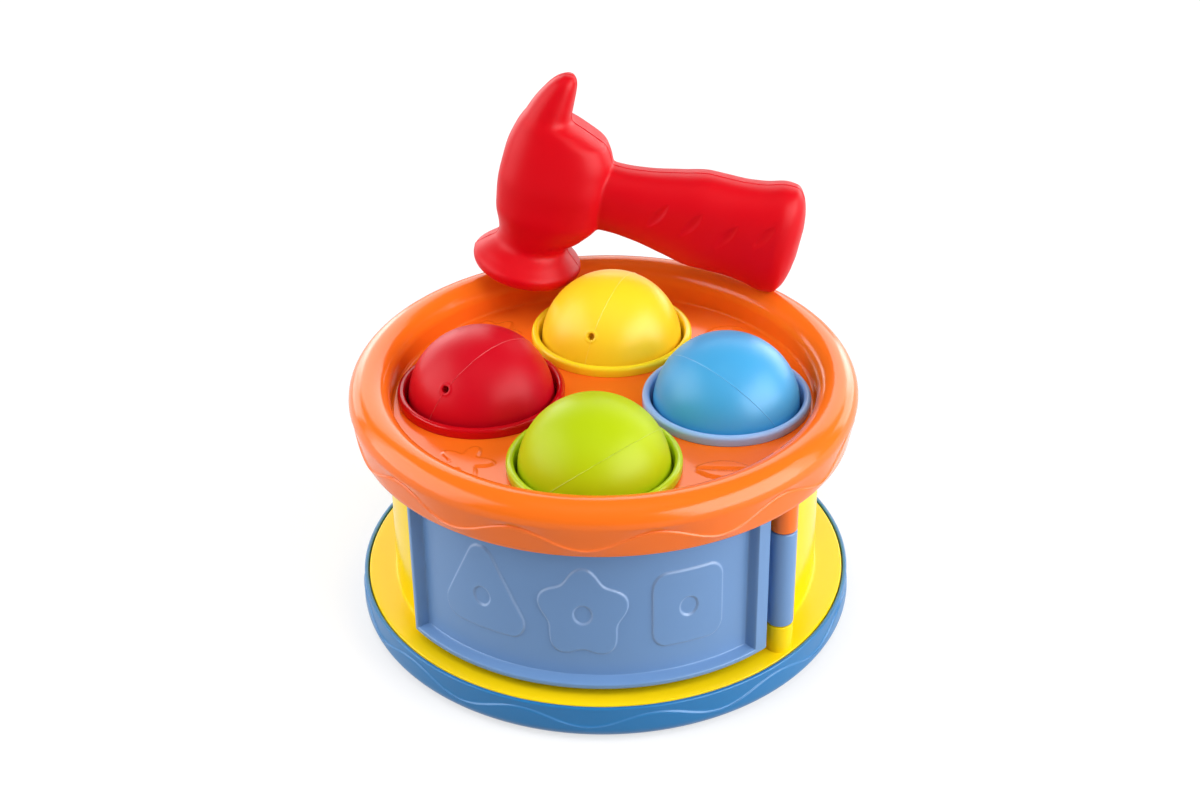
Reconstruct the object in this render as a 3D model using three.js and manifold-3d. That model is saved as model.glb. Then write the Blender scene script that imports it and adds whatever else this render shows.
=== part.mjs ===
// Pounding toy: a drum with four balls held in collars on top, a hinged door and a hammer.
// Millimetres, +Z up, origin on the drum's axis at the surface that the toy stands on.
// The door is at the front, towards -Y. Azimuths are degrees from +X about +Z.

import * as THREE from 'three';
import { mergeVertices } from 'three/addons/utils/BufferGeometryUtils.js';
import Module from 'manifold-3d';

const wasm = await Module();
wasm.setup();

// Fits
const FIT = 0.3; // clearance between pieces that slide into each other
const DOOR_GAP = 0.4; // between the drum wall and the inside of the door
const OVERRUN = 1; // how far a cutting tool, or the root of a pin, runs past a face

// Balls and their collars
const BALL_DIAMETER = 50;
const BALL_WALL = 1.6;
const BLOW_HOLE = 2.6; // diameter of the moulding hole in each ball
const BALL_SINK = 4.6; // ball centre below the collar's crown
const COLLAR_WALL = 1.7;
const COLLAR_FLARE = 0.7; // extra opening at the collar's mouth
const COLLAR_LEDGE = 1.6; // bead's overhang beyond the tube
const COLLAR_RISE = 3.6; // crown above the tray floor
const COLLAR_REACH = 11; // tube below the tray floor
const COLLAR_BARB = 1.2; // snap bump under the tray floor
const COLLAR_SPACING = 1.9; // between neighbouring collars
const FINGER_COUNT = 6;
const FINGER_SLOT = 2.4;

// Base dish
const BASE_HEIGHT = 13.3;
const BASE_FLOOR = 2.4;
const BASE_RIM = 1.4;
const BASE_LEDGE = 2.4; // width of the step that carries the plate's edge
const BASE_EDGE = 3; // rounding at the foot
const BASE_RELIEF = 0.5; // height of the wavy band

// Drum body
const PLATE_THICKNESS = 2.6;
const PLATE_FLANGE = 10; // plate's width outside the wall
const WALL_THICKNESS = 2;
const WALL_HEIGHT = 62.1;

// Tray
const TRAY_FLOOR = 2.6;
const FLOOR_MARGIN = 1.6; // tray floor outside the collars
const RIM_BEAD = 7; // radius of the rolled rim
const RIM_RISE = 5.5; // centre of the rolled rim above the tray floor
const SKIRT_DROP = 6; // skirt's lower edge below the tray floor
const SKIRT_DRAFT = 2.4; // how far the skirt draws in on its way down
const SKIRT_WALL = 2.3;
const REGISTER_WALL = 1.6; // ring that locates the tray on the drum wall
const REGISTER_DEPTH = 2.5;
const SKIRT_RELIEF = 0.7;

// Wavy relief round the skirt and the base
const WAVE_COUNT = 12;
const WAVE_STEPS = 6; // facets along one wave
const SKIRT_WAVE_LOW = 3.3; // lowest point of the wave above the skirt's edge
const SKIRT_WAVE_RISE = 6.2;
const BASE_WAVE_LOW = 5.8; // lowest point of the wave above the foot
const BASE_WAVE_RISE = 5.2;

// Door and hinge
const DOOR_LEFT = -139.8;
const DOOR_RIGHT = -43.5;
const DOOR_CLEARANCE = 2.7; // door above the plate
const DOOR_HEADROOM = 0.7; // door below the skirt's edge
const DOOR_LAP = 4; // door beyond the sides of the doorway
const DOOR_TOP_LAP = 2.5;
const PANEL_THICKNESS = 1.3;
const RIB_RISE = 3.8;
const RIB_WIDTH = 2.6;
const HINGE_RIB_WIDTH = 5.8; // rib beside the hinge
const FIGURE_RISE = 0.6; // raised triangle, flower and square
const FIGURE_WIDTH = 30;
const FIGURE_HEIGHT = 36;
const FIGURE_ROUNDING = 5;
const FIGURE_EYE = 3; // half width of the opening in each figure
const FIGURE_PITCH = 26; // degrees between the figures
const FIGURE_SHIFT = 0.4; // degrees from the door's middle towards the hinge
const PETAL_COUNT = 5;
const PETAL_DEPTH = 1.7;
const PETAL_STEPS = 5; // facets along one petal
const HINGE_AZIMUTH = -38.7;
const KNUCKLE_RADIUS = 4.5;
const KNUCKLE_LENGTH = 37.1;
const POST_HEIGHT = 10.4; // lower hinge post above the plate
const PIN_RADIUS = 2.2;
const PIN_LENGTH = 8;

// Fasteners
const SCREW_RADIUS = 1.5;
const SCREW_HEAD_RADIUS = 3;
const SCREW_HEAD_FLAT = 2.1; // radius of the flat on the head
const SCREW_HEAD_HEIGHT = 1.8;
const SCREW_RECESS = 2.6;
const BOSS_WALL = 2.4;
const BASE_SCREW_LENGTH = 9.5;
const TRAY_SCREW_LENGTH = 24;
const SCREW_END_GAP = 1;
const POST_AZIMUTHS = [45, 135, -155, -25];
const BASE_SCREW_AZIMUTHS = [10, 90, 170, -90];
const POST_INSET = 2; // between a tray post and the drum wall

// Hammer, in its own frame: X along the handle, Z from the striking face to the claw
const FACE_RADIUS = 19.8;
const FACE_EDGE = 4; // height of the striking face's edge
const NECK_RADIUS = 12.8;
const NECK_HEIGHT = 12;
const CLAW_TIP = 78; // above the striking face
const HEAD_HALF_WIDTH = 19.8;
const HEAD_HALF_THICKNESS = 16;
const HEAD_LEAN = 4.2; // head's middle from the face's axis, towards the handle
const HEAD_SQUARENESS = 2.5; // 2 is an ellipse, more is squarer
const CLAW_HEIGHT = 62; // where the claw leaves the head
const CLAW_HALF_WIDTH = 7.4;
const CLAW_HALF_THICKNESS = 7.5;
const CLAW_SQUARENESS = 3;
const CLAW_LEAN = 2.2; // claw's root from the face's axis, away from the handle
const HANDLE_HEIGHT = 36; // handle's axis above the striking face
const HANDLE_LENGTH = 93.8; // from the face's axis to the handle's end
const HANDLE_ROOT = 12.3; // half height where it leaves the head
const HANDLE_PALM = 17.8; // half height at the palm swell
const HANDLE_END = 21.2; // half height at the flared end
const HANDLE_CAP = 9; // length of the rounded end
const HANDLE_HALF_THICKNESS = 12.4;
const HANDLE_SQUARENESS = 2.5;
const HAMMER_AZIMUTH = 116.9; // where the striking face stands on the rim
const HAMMER_INSET = 6.2; // face's axis inside the rim's crest

// Facets round the drum, a collar, a ball, a hinge pin, a screw boss, a screw and the hammer
const DRUM_SEGMENTS = 48;
const COLLAR_SEGMENTS = 24;
const BALL_SEGMENTS = 16;
const PIN_SEGMENTS = 12;
const BOSS_SEGMENTS = 8;
const SCREW_SEGMENTS = 8;
const HAMMER_SEGMENTS = 18;

// Worked out from the sizes above
const ballRadius = BALL_DIAMETER / 2;
const gripRadius = ballRadius + FIT;
const tubeRadius = gripRadius + COLLAR_WALL;
const collarRadius = tubeRadius + COLLAR_LEDGE;
const ballCircle = (2 * collarRadius + COLLAR_SPACING) / Math.SQRT2;
const floorRadius = ballCircle + collarRadius + FLOOR_MARGIN;
const rimRadius = floorRadius + RIM_BEAD;
const wallInner = floorRadius;
const wallOuter = wallInner + WALL_THICKNESS;
const plateRadius = wallOuter + PLATE_FLANGE;
const baseRadius = plateRadius + FIT + BASE_RIM;
const plateTop = BASE_HEIGHT;
const plateBottom = plateTop - PLATE_THICKNESS;
const wallTop = plateTop + WALL_HEIGHT;
const floorTop = wallTop + TRAY_FLOOR;
const rimHeight = floorTop + RIM_RISE;
const skirtBottom = floorTop - SKIRT_DROP;
const skirtTopRadius = rimRadius + RIM_BEAD;
const collarCrown = floorTop + COLLAR_RISE;
const ballHeight = collarCrown - BALL_SINK;
const doorInner = wallOuter + DOOR_GAP;
const panelOuter = doorInner + PANEL_THICKNESS;
const ribOuter = panelOuter + RIB_RISE;
const doorBottom = plateTop + DOOR_CLEARANCE;
const doorTop = skirtBottom - DOOR_HEADROOM;
const hingeRadius = wallOuter + FIT + KNUCKLE_RADIUS;
const knuckleBottom = plateTop + POST_HEIGHT + FIT;
const knuckleTop = knuckleBottom + KNUCKLE_LENGTH;
const holeRadius = SCREW_RADIUS + FIT;
const bossRadius = holeRadius + BOSS_WALL;
const postCircle = wallInner - POST_INSET - bossRadius;
const ledgeRadius = plateRadius + FIT - BASE_LEDGE;
const baseScrewCircle = ledgeRadius - FIT - bossRadius;

// Places on a circle about the drum's axis
const radians = THREE.MathUtils.degToRad;
const degrees = THREE.MathUtils.radToDeg;
function polar(radius, azimuth) {
  const angle = radians(azimuth);
  return new THREE.Vector2(radius * Math.cos(angle), radius * Math.sin(angle));
}

// Materials
const plastic = (color, roughness) => new THREE.MeshStandardMaterial({ color, roughness, metalness: 0 });
const steel = new THREE.MeshStandardMaterial({ color: 0xb9bcc0, roughness: 0.35, metalness: 1 });
const orange = plastic(0xf26025, 0.25);
const yellow = plastic(0xe7ca24, 0.22);
const navy = plastic(0x3c6a9e, 0.35);
const doorBlue = plastic(0x5d7ea9, 0.4);
const hammerRed = plastic(0xd30a1c, 0.45);

// Closed body from a geometry: shared vertices merged, faces of no area dropped, faces pointing out
function weld(geometry) {
  const bare = new THREE.BufferGeometry();
  bare.setAttribute('position', geometry.getAttribute('position').clone());
  if (geometry.index) bare.setIndex(geometry.index.clone());
  const merged = mergeVertices(bare, 1e-4);
  const old = merged.index.array;
  const kept = [];
  for (let i = 0; i < old.length; i += 3) {
    const [a, b, c] = [old[i], old[i + 1], old[i + 2]];
    if (a !== b && b !== c && c !== a) kept.push(a, b, c);
  }
  if (signedVolume(merged.getAttribute('position'), kept) < 0) kept.reverse();
  merged.setIndex(kept);
  return merged;
}

function signedVolume(position, index) {
  const corners = [new THREE.Vector3(), new THREE.Vector3(), new THREE.Vector3()];
  let volume = 0;
  for (let i = 0; i < index.length; i += 3) {
    corners.forEach((corner, k) => corner.fromBufferAttribute(position, index[i + k]));
    volume += corners[0].dot(corners[1].clone().cross(corners[2])) / 6;
  }
  return volume;
}

function solid(geometry) {
  const closed = weld(geometry);
  const vertProperties = new Float32Array(closed.getAttribute('position').array);
  const triVerts = new Uint32Array(closed.index.array);
  return new wasm.Manifold(new wasm.Mesh({ numProp: 3, vertProperties, triVerts }));
}

function geometryOf(body) {
  const mesh = body.getMesh();
  const geometry = new THREE.BufferGeometry();
  geometry.setAttribute('position', new THREE.BufferAttribute(mesh.vertProperties, 3));
  geometry.setIndex(new THREE.BufferAttribute(mesh.triVerts, 1));
  return geometry;
}

// Simple solids
function revolve(profile, segments) {
  const points = profile.map(([radius, height]) => new THREE.Vector2(radius, height));
  return new THREE.LatheGeometry(points, segments).rotateX(Math.PI / 2);
}

function upright(radius, bottom, top, place, segments = BOSS_SEGMENTS) {
  const geometry = new THREE.CylinderGeometry(radius, radius, top - bottom, segments);
  geometry.rotateX(Math.PI / 2);
  return geometry.translate(place.x, place.y, (bottom + top) / 2);
}

function arcBlock(inner, outer, from, to, bottom, top) {
  const shape = new THREE.Shape();
  shape.absarc(0, 0, outer, radians(from), radians(to), false);
  shape.absarc(0, 0, inner, radians(to), radians(from), true);
  const curveSegments = Math.ceil((to - from) / (360 / DRUM_SEGMENTS));
  const block = new THREE.ExtrudeGeometry(shape, { depth: top - bottom, bevelEnabled: false, curveSegments });
  return block.translate(0, 0, bottom);
}

// Points of an arc about a centre, in the plane of a profile
function arc(centreRadius, centreHeight, radius, from, to, steps) {
  const points = [];
  for (let i = 0; i <= steps; i += 1) {
    const angle = radians(from + ((to - from) * i) / steps);
    points.push([centreRadius + radius * Math.cos(angle), centreHeight + radius * Math.sin(angle)]);
  }
  return points;
}

// Closed skin through rings of equal point count, capped at both ends
function loft(rings) {
  const count = rings[0].length;
  const points = rings.flat();
  const index = [];
  for (let i = 0; i + 1 < rings.length; i += 1) {
    for (let j = 0; j < count; j += 1) {
      const a = i * count + j;
      const b = i * count + ((j + 1) % count);
      index.push(a, b, a + count, b, b + count, a + count);
    }
  }
  const last = (rings.length - 1) * count;
  for (let j = 1; j + 1 < count; j += 1) {
    index.push(0, j + 1, j);
    index.push(last, last + j, last + j + 1);
  }
  const geometry = new THREE.BufferGeometry().setFromPoints(points);
  geometry.setIndex(index);
  return geometry;
}

// Band with a wavy upper edge, standing proud of a surface of revolution
function waveBand(radiusAt, depth, relief, bottom, low, rise) {
  const rings = [];
  const steps = WAVE_COUNT * WAVE_STEPS;
  for (let i = 0; i < steps; i += 1) {
    const turn = i / steps;
    const top = bottom + low + (rise * (1 - Math.cos(2 * Math.PI * WAVE_COUNT * turn))) / 2;
    const outline = [
      [radiusAt(bottom) - depth, bottom],
      [radiusAt(bottom) + relief, bottom],
      [radiusAt(top) + relief, top],
      [radiusAt(top) - depth, top],
    ];
    const direction = polar(1, 360 * turn - 90);
    rings.push(outline.map(([r, z]) => new THREE.Vector3(r * direction.x, r * direction.y, z)));
  }
  const index = [];
  const count = rings[0].length;
  for (let i = 0; i < steps; i += 1) {
    for (let j = 0; j < count; j += 1) {
      const a = i * count + j;
      const b = i * count + ((j + 1) % count);
      const c = ((i + 1) % steps) * count + j;
      const d = ((i + 1) % steps) * count + ((j + 1) % count);
      index.push(a, c, b, b, c, d);
    }
  }
  const geometry = new THREE.BufferGeometry().setFromPoints(rings.flat());
  geometry.setIndex(index);
  return geometry;
}

// Assembly
const toy = new THREE.Group();

function add(name, geometry, material, parent = toy) {
  const mesh = new THREE.Mesh(weld(geometry), material);
  mesh.geometry.computeVertexNormals();
  mesh.name = name;
  parent.add(mesh);
  return mesh;
}

const hinge = polar(hingeRadius, HINGE_AZIMUTH);
const postPlaces = POST_AZIMUTHS.map((azimuth) => polar(postCircle, azimuth));
const baseScrewPlaces = BASE_SCREW_AZIMUTHS.map((azimuth) => polar(baseScrewCircle, azimuth));

// Base dish, with a step for the plate and a stand-off round each screw
function makeBase() {
  const inner = plateRadius + FIT;
  const dish = solid(revolve([
    [0, 0],
    ...arc(baseRadius - BASE_EDGE, BASE_EDGE, BASE_EDGE, -90, 0, 3),
    [baseRadius, BASE_HEIGHT],
    [inner, BASE_HEIGHT],
    [inner, plateBottom],
    [ledgeRadius, plateBottom],
    [ledgeRadius, BASE_FLOOR],
    [0, BASE_FLOOR],
  ], DRUM_SEGMENTS));
  const radiusAt = () => baseRadius;
  let body = dish.add(solid(
    waveBand(radiusAt, BASE_RIM / 2, BASE_RELIEF, BASE_EDGE, BASE_WAVE_LOW - BASE_EDGE, BASE_WAVE_RISE),
  ));
  for (const place of postPlaces) {
    body = body.add(solid(upright(bossRadius, BASE_FLOOR / 2, plateBottom, place)));
  }
  for (const place of baseScrewPlaces) {
    body = body.add(solid(upright(bossRadius, BASE_FLOOR / 2, SCREW_RECESS + BOSS_WALL, place)));
  }
  for (const place of [...postPlaces, ...baseScrewPlaces]) {
    body = body.subtract(solid(upright(holeRadius, -OVERRUN, BASE_HEIGHT, place)));
    body = body.subtract(solid(upright(SCREW_HEAD_RADIUS + FIT, -OVERRUN, SCREW_RECESS, place)));
  }
  return geometryOf(body);
}

// Drum body: plate, wall with the doorway, lower hinge post and the bosses for the short screws
function makeDrumBody() {
  let body = solid(revolve([
    [0, plateBottom],
    [plateRadius, plateBottom],
    [plateRadius, plateTop],
    [wallOuter, plateTop],
    [wallOuter, wallTop],
    [wallInner, wallTop],
    [wallInner, plateTop],
    [0, plateTop],
  ], DRUM_SEGMENTS));
  const lap = degrees(DOOR_LAP / wallOuter);
  body = body.subtract(solid(arcBlock(
    wallInner - WALL_THICKNESS,
    wallOuter + WALL_THICKNESS,
    DOOR_LEFT + lap,
    DOOR_RIGHT - lap,
    plateTop,
    doorTop - DOOR_TOP_LAP,
  )));
  const postTop = plateTop + POST_HEIGHT;
  const pinTop = postTop + FIT + PIN_LENGTH;
  const postRoot = plateTop - PLATE_THICKNESS / 2;
  body = body.add(solid(upright(KNUCKLE_RADIUS, postRoot, postTop, hinge, PIN_SEGMENTS)));
  body = body.add(solid(upright(PIN_RADIUS, postTop - OVERRUN, pinTop, hinge, PIN_SEGMENTS)));
  for (const place of baseScrewPlaces) {
    const bossBottom = SCREW_RECESS + BOSS_WALL;
    const holeTop = SCREW_RECESS + BASE_SCREW_LENGTH - SCREW_HEAD_HEIGHT + SCREW_END_GAP;
    body = body.add(solid(upright(bossRadius, bossBottom, postRoot, place)));
    body = body.subtract(solid(upright(holeRadius, bossBottom - OVERRUN, holeTop, place)));
  }
  for (const place of postPlaces) {
    body = body.subtract(solid(upright(holeRadius, plateBottom - OVERRUN, plateTop + OVERRUN, place)));
  }
  return geometryOf(body);
}

// Tray: floor with four holes, rolled rim, skirt, register ring, screw posts and upper hinge post
function makeTray() {
  const innerBead = RIM_BEAD - SKIRT_WALL;
  const register = wallOuter + FIT;
  const edgeRadius = skirtTopRadius - SKIRT_DRAFT;
  let body = solid(revolve([
    [0, wallTop],
    [register, wallTop],
    [register, wallTop - REGISTER_DEPTH],
    [register + REGISTER_WALL, wallTop - REGISTER_DEPTH],
    [register + REGISTER_WALL, floorTop],
    ...arc(rimRadius, rimHeight, innerBead, 180, 0, 3),
    [edgeRadius - SKIRT_WALL, skirtBottom],
    [edgeRadius, skirtBottom],
    ...arc(rimRadius, rimHeight, RIM_BEAD, 0, 180, 8),
    [floorRadius, floorTop],
    [0, floorTop],
  ], DRUM_SEGMENTS));
  const radiusAt = (height) => {
    const share = (height - skirtBottom) / (rimHeight - skirtBottom);
    return edgeRadius + SKIRT_DRAFT * share;
  };
  body = body.add(solid(
    waveBand(radiusAt, SKIRT_WALL / 2, SKIRT_RELIEF, skirtBottom, SKIRT_WAVE_LOW, SKIRT_WAVE_RISE),
  ));
  for (const { place } of collars) {
    const [bottom, top] = [wallTop - OVERRUN, floorTop + OVERRUN];
    body = body.subtract(solid(upright(tubeRadius + FIT, bottom, top, place, COLLAR_SEGMENTS)));
  }
  for (const place of postPlaces) {
    const holeTop = SCREW_RECESS + TRAY_SCREW_LENGTH - SCREW_HEAD_HEIGHT + SCREW_END_GAP;
    body = body.add(solid(upright(bossRadius, plateTop, wallTop + TRAY_FLOOR / 2, place)));
    body = body.subtract(solid(upright(holeRadius, plateTop - OVERRUN, holeTop, place)));
  }
  const postBottom = knuckleTop + FIT;
  const roof = rimHeight + RIM_BEAD - SKIRT_WALL / 2;
  const pinBottom = postBottom - FIT - PIN_LENGTH;
  body = body.add(solid(upright(KNUCKLE_RADIUS, postBottom, roof, hinge, PIN_SEGMENTS)));
  body = body.add(solid(upright(PIN_RADIUS, pinBottom, postBottom + OVERRUN, hinge, PIN_SEGMENTS)));
  return geometryOf(body);
}

// Collar: rounded bead on the tray floor, tube through the hole, flexible fingers with a snap bump
function makeCollar() {
  const crownRadius = (collarRadius - gripRadius - COLLAR_FLARE) / 2;
  const beadCentre = collarRadius - crownRadius;
  const tubeBottom = floorTop - COLLAR_REACH;
  const barbTop = wallTop - FIT;
  const crown = arc(beadCentre, collarCrown - crownRadius, crownRadius, 0, 180, 3);
  const profile = [
    [gripRadius, tubeBottom],
    [tubeRadius, tubeBottom],
    [tubeRadius + COLLAR_BARB, barbTop],
    [tubeRadius, barbTop],
    [tubeRadius, floorTop],
    [collarRadius, floorTop],
    ...crown,
    [gripRadius, ballHeight],
    [gripRadius, tubeBottom],
  ];
  let body = solid(revolve(profile, COLLAR_SEGMENTS));
  const slot = new THREE.BoxGeometry(2 * collarRadius, FINGER_SLOT, barbTop - tubeBottom);
  slot.translate(collarRadius, 0, (barbTop + tubeBottom) / 2 - FIT);
  for (let i = 0; i < FINGER_COUNT; i += 1) {
    const turn = (2 * Math.PI * (i + 0.5)) / FINGER_COUNT;
    body = body.subtract(solid(slot.clone().rotateZ(turn)));
  }
  return geometryOf(body);
}

// Hollow ball with its blow hole at the +Z pole
function makeBall() {
  const inner = ballRadius - BALL_WALL;
  const hole = BLOW_HOLE / 2;
  const outerEdge = degrees(Math.acos(hole / ballRadius));
  const innerEdge = degrees(Math.acos(hole / inner));
  const outside = arc(0, 0, ballRadius, outerEdge, -90, 10);
  const inside = arc(0, 0, inner, -90, innerEdge, 6);
  outside[outside.length - 1][0] = 0;
  inside[0][0] = 0;
  return revolve([...outside, ...inside, outside[0]], BALL_SEGMENTS);
}

// Raised figures on the door panel, each with an opening in its middle
function withEye(shape) {
  shape.holes.push(new THREE.Path().absarc(0, 0, FIGURE_EYE, 0, 2 * Math.PI, true));
  return shape;
}

function polygonFigure(sides, start) {
  const reach = (FIGURE_WIDTH / 2 - FIGURE_ROUNDING) / Math.sin(Math.floor(sides / 2) * Math.PI / sides);
  const sector = 360 / sides;
  const shape = new THREE.Shape();
  for (let i = 0; i < sides; i += 1) {
    const azimuth = start + sector * i;
    const corner = polar(reach, azimuth);
    const [from, to] = [azimuth - sector / 2, azimuth + sector / 2];
    shape.absarc(corner.x, corner.y, FIGURE_ROUNDING, radians(from), radians(to), false);
  }
  return withEye(shape);
}

function flowerFigure() {
  const points = [];
  const steps = PETAL_STEPS * PETAL_COUNT;
  for (let i = 0; i < steps; i += 1) {
    const azimuth = 90 + (360 * i) / steps;
    const ripple = PETAL_DEPTH * (Math.cos((2 * Math.PI * PETAL_COUNT * i) / steps) - 1);
    points.push(polar(FIGURE_WIDTH / 2 + ripple, azimuth));
  }
  return withEye(new THREE.Shape(points));
}

// Door: curved panel in a rib frame, three raised figures, leaf and knuckle
function makeDoor() {
  const pocketLeft = DOOR_LEFT + degrees(RIB_WIDTH / ribOuter);
  const pocketRight = DOOR_RIGHT - degrees(HINGE_RIB_WIDTH / ribOuter);
  let body = solid(arcBlock(doorInner, ribOuter, DOOR_LEFT, DOOR_RIGHT, doorBottom, doorTop));
  body = body.subtract(solid(arcBlock(
    panelOuter,
    ribOuter + RIB_RISE,
    pocketLeft,
    pocketRight,
    doorBottom + RIB_WIDTH,
    doorTop - RIB_WIDTH,
  )));
  const figures = [polygonFigure(3, 90), flowerFigure(), polygonFigure(4, 45)];
  const middle = (DOOR_LEFT + DOOR_RIGHT) / 2 + FIGURE_SHIFT;
  const relief = solid(arcBlock(
    doorInner + PANEL_THICKNESS / 2,
    panelOuter + FIGURE_RISE,
    pocketLeft,
    pocketRight,
    doorBottom,
    doorTop,
  ));
  figures.forEach((shape, i) => {
    const azimuth = middle + FIGURE_PITCH * (i - (figures.length - 1) / 2);
    const options = { depth: ribOuter, bevelEnabled: false, curveSegments: 4 };
    const stamp = new THREE.ExtrudeGeometry(shape, options);
    stamp.scale(1, FIGURE_HEIGHT / FIGURE_WIDTH, 1);
    stamp.rotateX(Math.PI / 2);
    stamp.rotateZ(radians(azimuth + 90));
    stamp.translate(0, 0, (doorBottom + doorTop) / 2);
    body = body.add(solid(stamp).intersect(relief));
  });
  body = body.add(solid(arcBlock(
    panelOuter - PANEL_THICKNESS / 2,
    ribOuter,
    pocketRight,
    HINGE_AZIMUTH,
    knuckleBottom,
    knuckleTop,
  )));
  const [boreBottom, boreTop] = [knuckleBottom - OVERRUN, knuckleTop + OVERRUN];
  body = body.add(solid(upright(KNUCKLE_RADIUS, knuckleBottom, knuckleTop, hinge, PIN_SEGMENTS)));
  body = body.subtract(solid(upright(PIN_RADIUS + FIT, boreBottom, boreTop, hinge, PIN_SEGMENTS)));
  return geometryOf(body);
}

// Screw from below: pan head and shank
function makeScrew(length) {
  const headBottom = SCREW_RECESS - SCREW_HEAD_HEIGHT;
  return revolve([
    [0, headBottom],
    [SCREW_HEAD_FLAT, headBottom],
    [SCREW_HEAD_RADIUS, headBottom + SCREW_HEAD_HEIGHT / 2],
    [SCREW_HEAD_RADIUS, SCREW_RECESS],
    [SCREW_RADIUS, SCREW_RECESS],
    [SCREW_RADIUS, headBottom + length - SCREW_RADIUS],
    [0, headBottom + length],
  ], SCREW_SEGMENTS);
}

// Hammer sections: rounded rings across the head and across the handle
function roundedRing(halfA, halfB, square, place) {
  const ring = [];
  for (let i = 0; i < HAMMER_SEGMENTS; i += 1) {
    const angle = (2 * Math.PI * i) / HAMMER_SEGMENTS;
    const soften = (value) => Math.sign(value) * Math.abs(value) ** (2 / square);
    ring.push(place(halfA * soften(Math.cos(angle)), halfB * soften(Math.sin(angle))));
  }
  return ring;
}

function headRings() {
  const shoulder = CLAW_HEIGHT - NECK_HEIGHT;
  const claw = CLAW_TIP - CLAW_HEIGHT;
  const face = FACE_RADIUS;
  const wide = HEAD_HALF_WIDTH;
  const thick = HEAD_HALF_THICKNESS;
  const [tipWide, tipThick] = [CLAW_HALF_WIDTH, CLAW_HALF_THICKNESS];
  const square = HEAD_SQUARENESS;
  // Height, centre along the handle, half width, half thickness, squareness
  const sections = [
    [0, 0, face * 0.87, face * 0.87, 2],
    [FACE_EDGE / 3, 0, face * 0.96, face * 0.96, 2],
    [FACE_EDGE, 0, face, face, 2],
    [NECK_HEIGHT * 0.62, 0, face * 0.86, face * 0.86, 2],
    [NECK_HEIGHT, HEAD_LEAN * 0.13, NECK_RADIUS, NECK_RADIUS, 2],
    [NECK_HEIGHT + shoulder * 0.13, HEAD_LEAN * 0.76, wide * 0.8, thick * 0.9, (2 + square) / 2],
    [NECK_HEIGHT + shoulder * 0.3, HEAD_LEAN * 1.07, wide * 0.97, thick, square],
    [NECK_HEIGHT + shoulder * 0.5, HEAD_LEAN, wide, thick, square],
    [NECK_HEIGHT + shoulder * 0.7, HEAD_LEAN, wide * 0.97, thick * 0.91, square],
    [NECK_HEIGHT + shoulder * 0.86, HEAD_LEAN * 0.79, wide * 0.84, thick * 0.75, square],
    [NECK_HEIGHT + shoulder * 0.95, HEAD_LEAN * 0.21, wide * 0.62, thick * 0.59, square],
    [CLAW_HEIGHT + claw * 0.12, -CLAW_LEAN, tipWide, tipThick, CLAW_SQUARENESS],
    [CLAW_HEIGHT + claw * 0.5, -CLAW_LEAN * 0.14, tipWide * 0.86, tipThick * 0.81, CLAW_SQUARENESS],
    [CLAW_HEIGHT + claw * 0.85, CLAW_LEAN * 0.5, tipWide * 0.54, tipThick * 0.63, CLAW_SQUARENESS],
    [CLAW_TIP, CLAW_LEAN, tipWide * 0.24, tipThick * 0.33, 2],
  ];
  return sections.map(([height, centre, width, thickness, squareness]) => (
    roundedRing(width, thickness, squareness, (a, b) => new THREE.Vector3(centre + a, b, height))
  ));
}

function handleRings() {
  const root = HEAD_HALF_WIDTH;
  const grip = HANDLE_LENGTH - root;
  const thick = HANDLE_HALF_THICKNESS;
  // Place along the handle, half height, half thickness
  const sections = [
    [root - HANDLE_ROOT / 2, HANDLE_ROOT, thick * 0.81],
    [root + grip * 0.1, HANDLE_ROOT, thick * 0.81],
    [root + grip * 0.22, HANDLE_ROOT * 1.07, thick * 0.85],
    [root + grip * 0.37, HANDLE_PALM * 0.87, thick * 0.94],
    [root + grip * 0.52, HANDLE_PALM, thick],
    [root + grip * 0.66, HANDLE_PALM, thick],
    [root + grip * 0.77, HANDLE_PALM * 1.05, thick * 1.02],
    [HANDLE_LENGTH - HANDLE_CAP, HANDLE_END * 0.98, thick * 1.02],
    [HANDLE_LENGTH - HANDLE_CAP * 0.61, HANDLE_END * 0.97, thick * 0.94],
    [HANDLE_LENGTH - HANDLE_CAP * 0.27, HANDLE_END * 0.81, thick * 0.73],
    [HANDLE_LENGTH - HANDLE_CAP * 0.08, HANDLE_END * 0.54, thick * 0.46],
    [HANDLE_LENGTH, HANDLE_END * 0.28, thick * 0.2],
  ];
  const square = HANDLE_SQUARENESS;
  return sections.map(([along, half, thickness]) => (
    roundedRing(half, thickness, square, (a, b) => new THREE.Vector3(along, -b, HANDLE_HEIGHT + a))
  ));
}

function makeHammer() {
  return geometryOf(solid(loft(headRings())).add(solid(loft(handleRings()))));
}

// The hammer stands on the rim: its striking face at one place, the underside of its handle's end at another
function rimTop(radius) {
  const offset = Math.abs(radius - rimRadius);
  return offset < RIM_BEAD ? rimHeight + Math.sqrt(RIM_BEAD ** 2 - offset ** 2) : floorTop;
}

function hammerTurn(tilt) {
  const stand = rimRadius - HAMMER_INSET;
  const reach = HANDLE_LENGTH - RIM_BEAD;
  const bend = Math.acos((rimRadius ** 2 - stand ** 2 - reach ** 2) / (2 * stand * reach));
  const place = polar(stand, HAMMER_AZIMUTH);
  const matrix = new THREE.Matrix4().makeTranslation(place.x, place.y, 0);
  matrix.multiply(new THREE.Matrix4().makeRotationZ(radians(HAMMER_AZIMUTH) - bend));
  return matrix.multiply(new THREE.Matrix4().makeRotationY(tilt));
}

function neededLift(points, matrix) {
  return Math.max(...points.map((point) => {
    const moved = point.clone().applyMatrix4(matrix);
    return rimTop(Math.hypot(moved.x, moved.y)) - moved.z;
  }));
}

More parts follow.
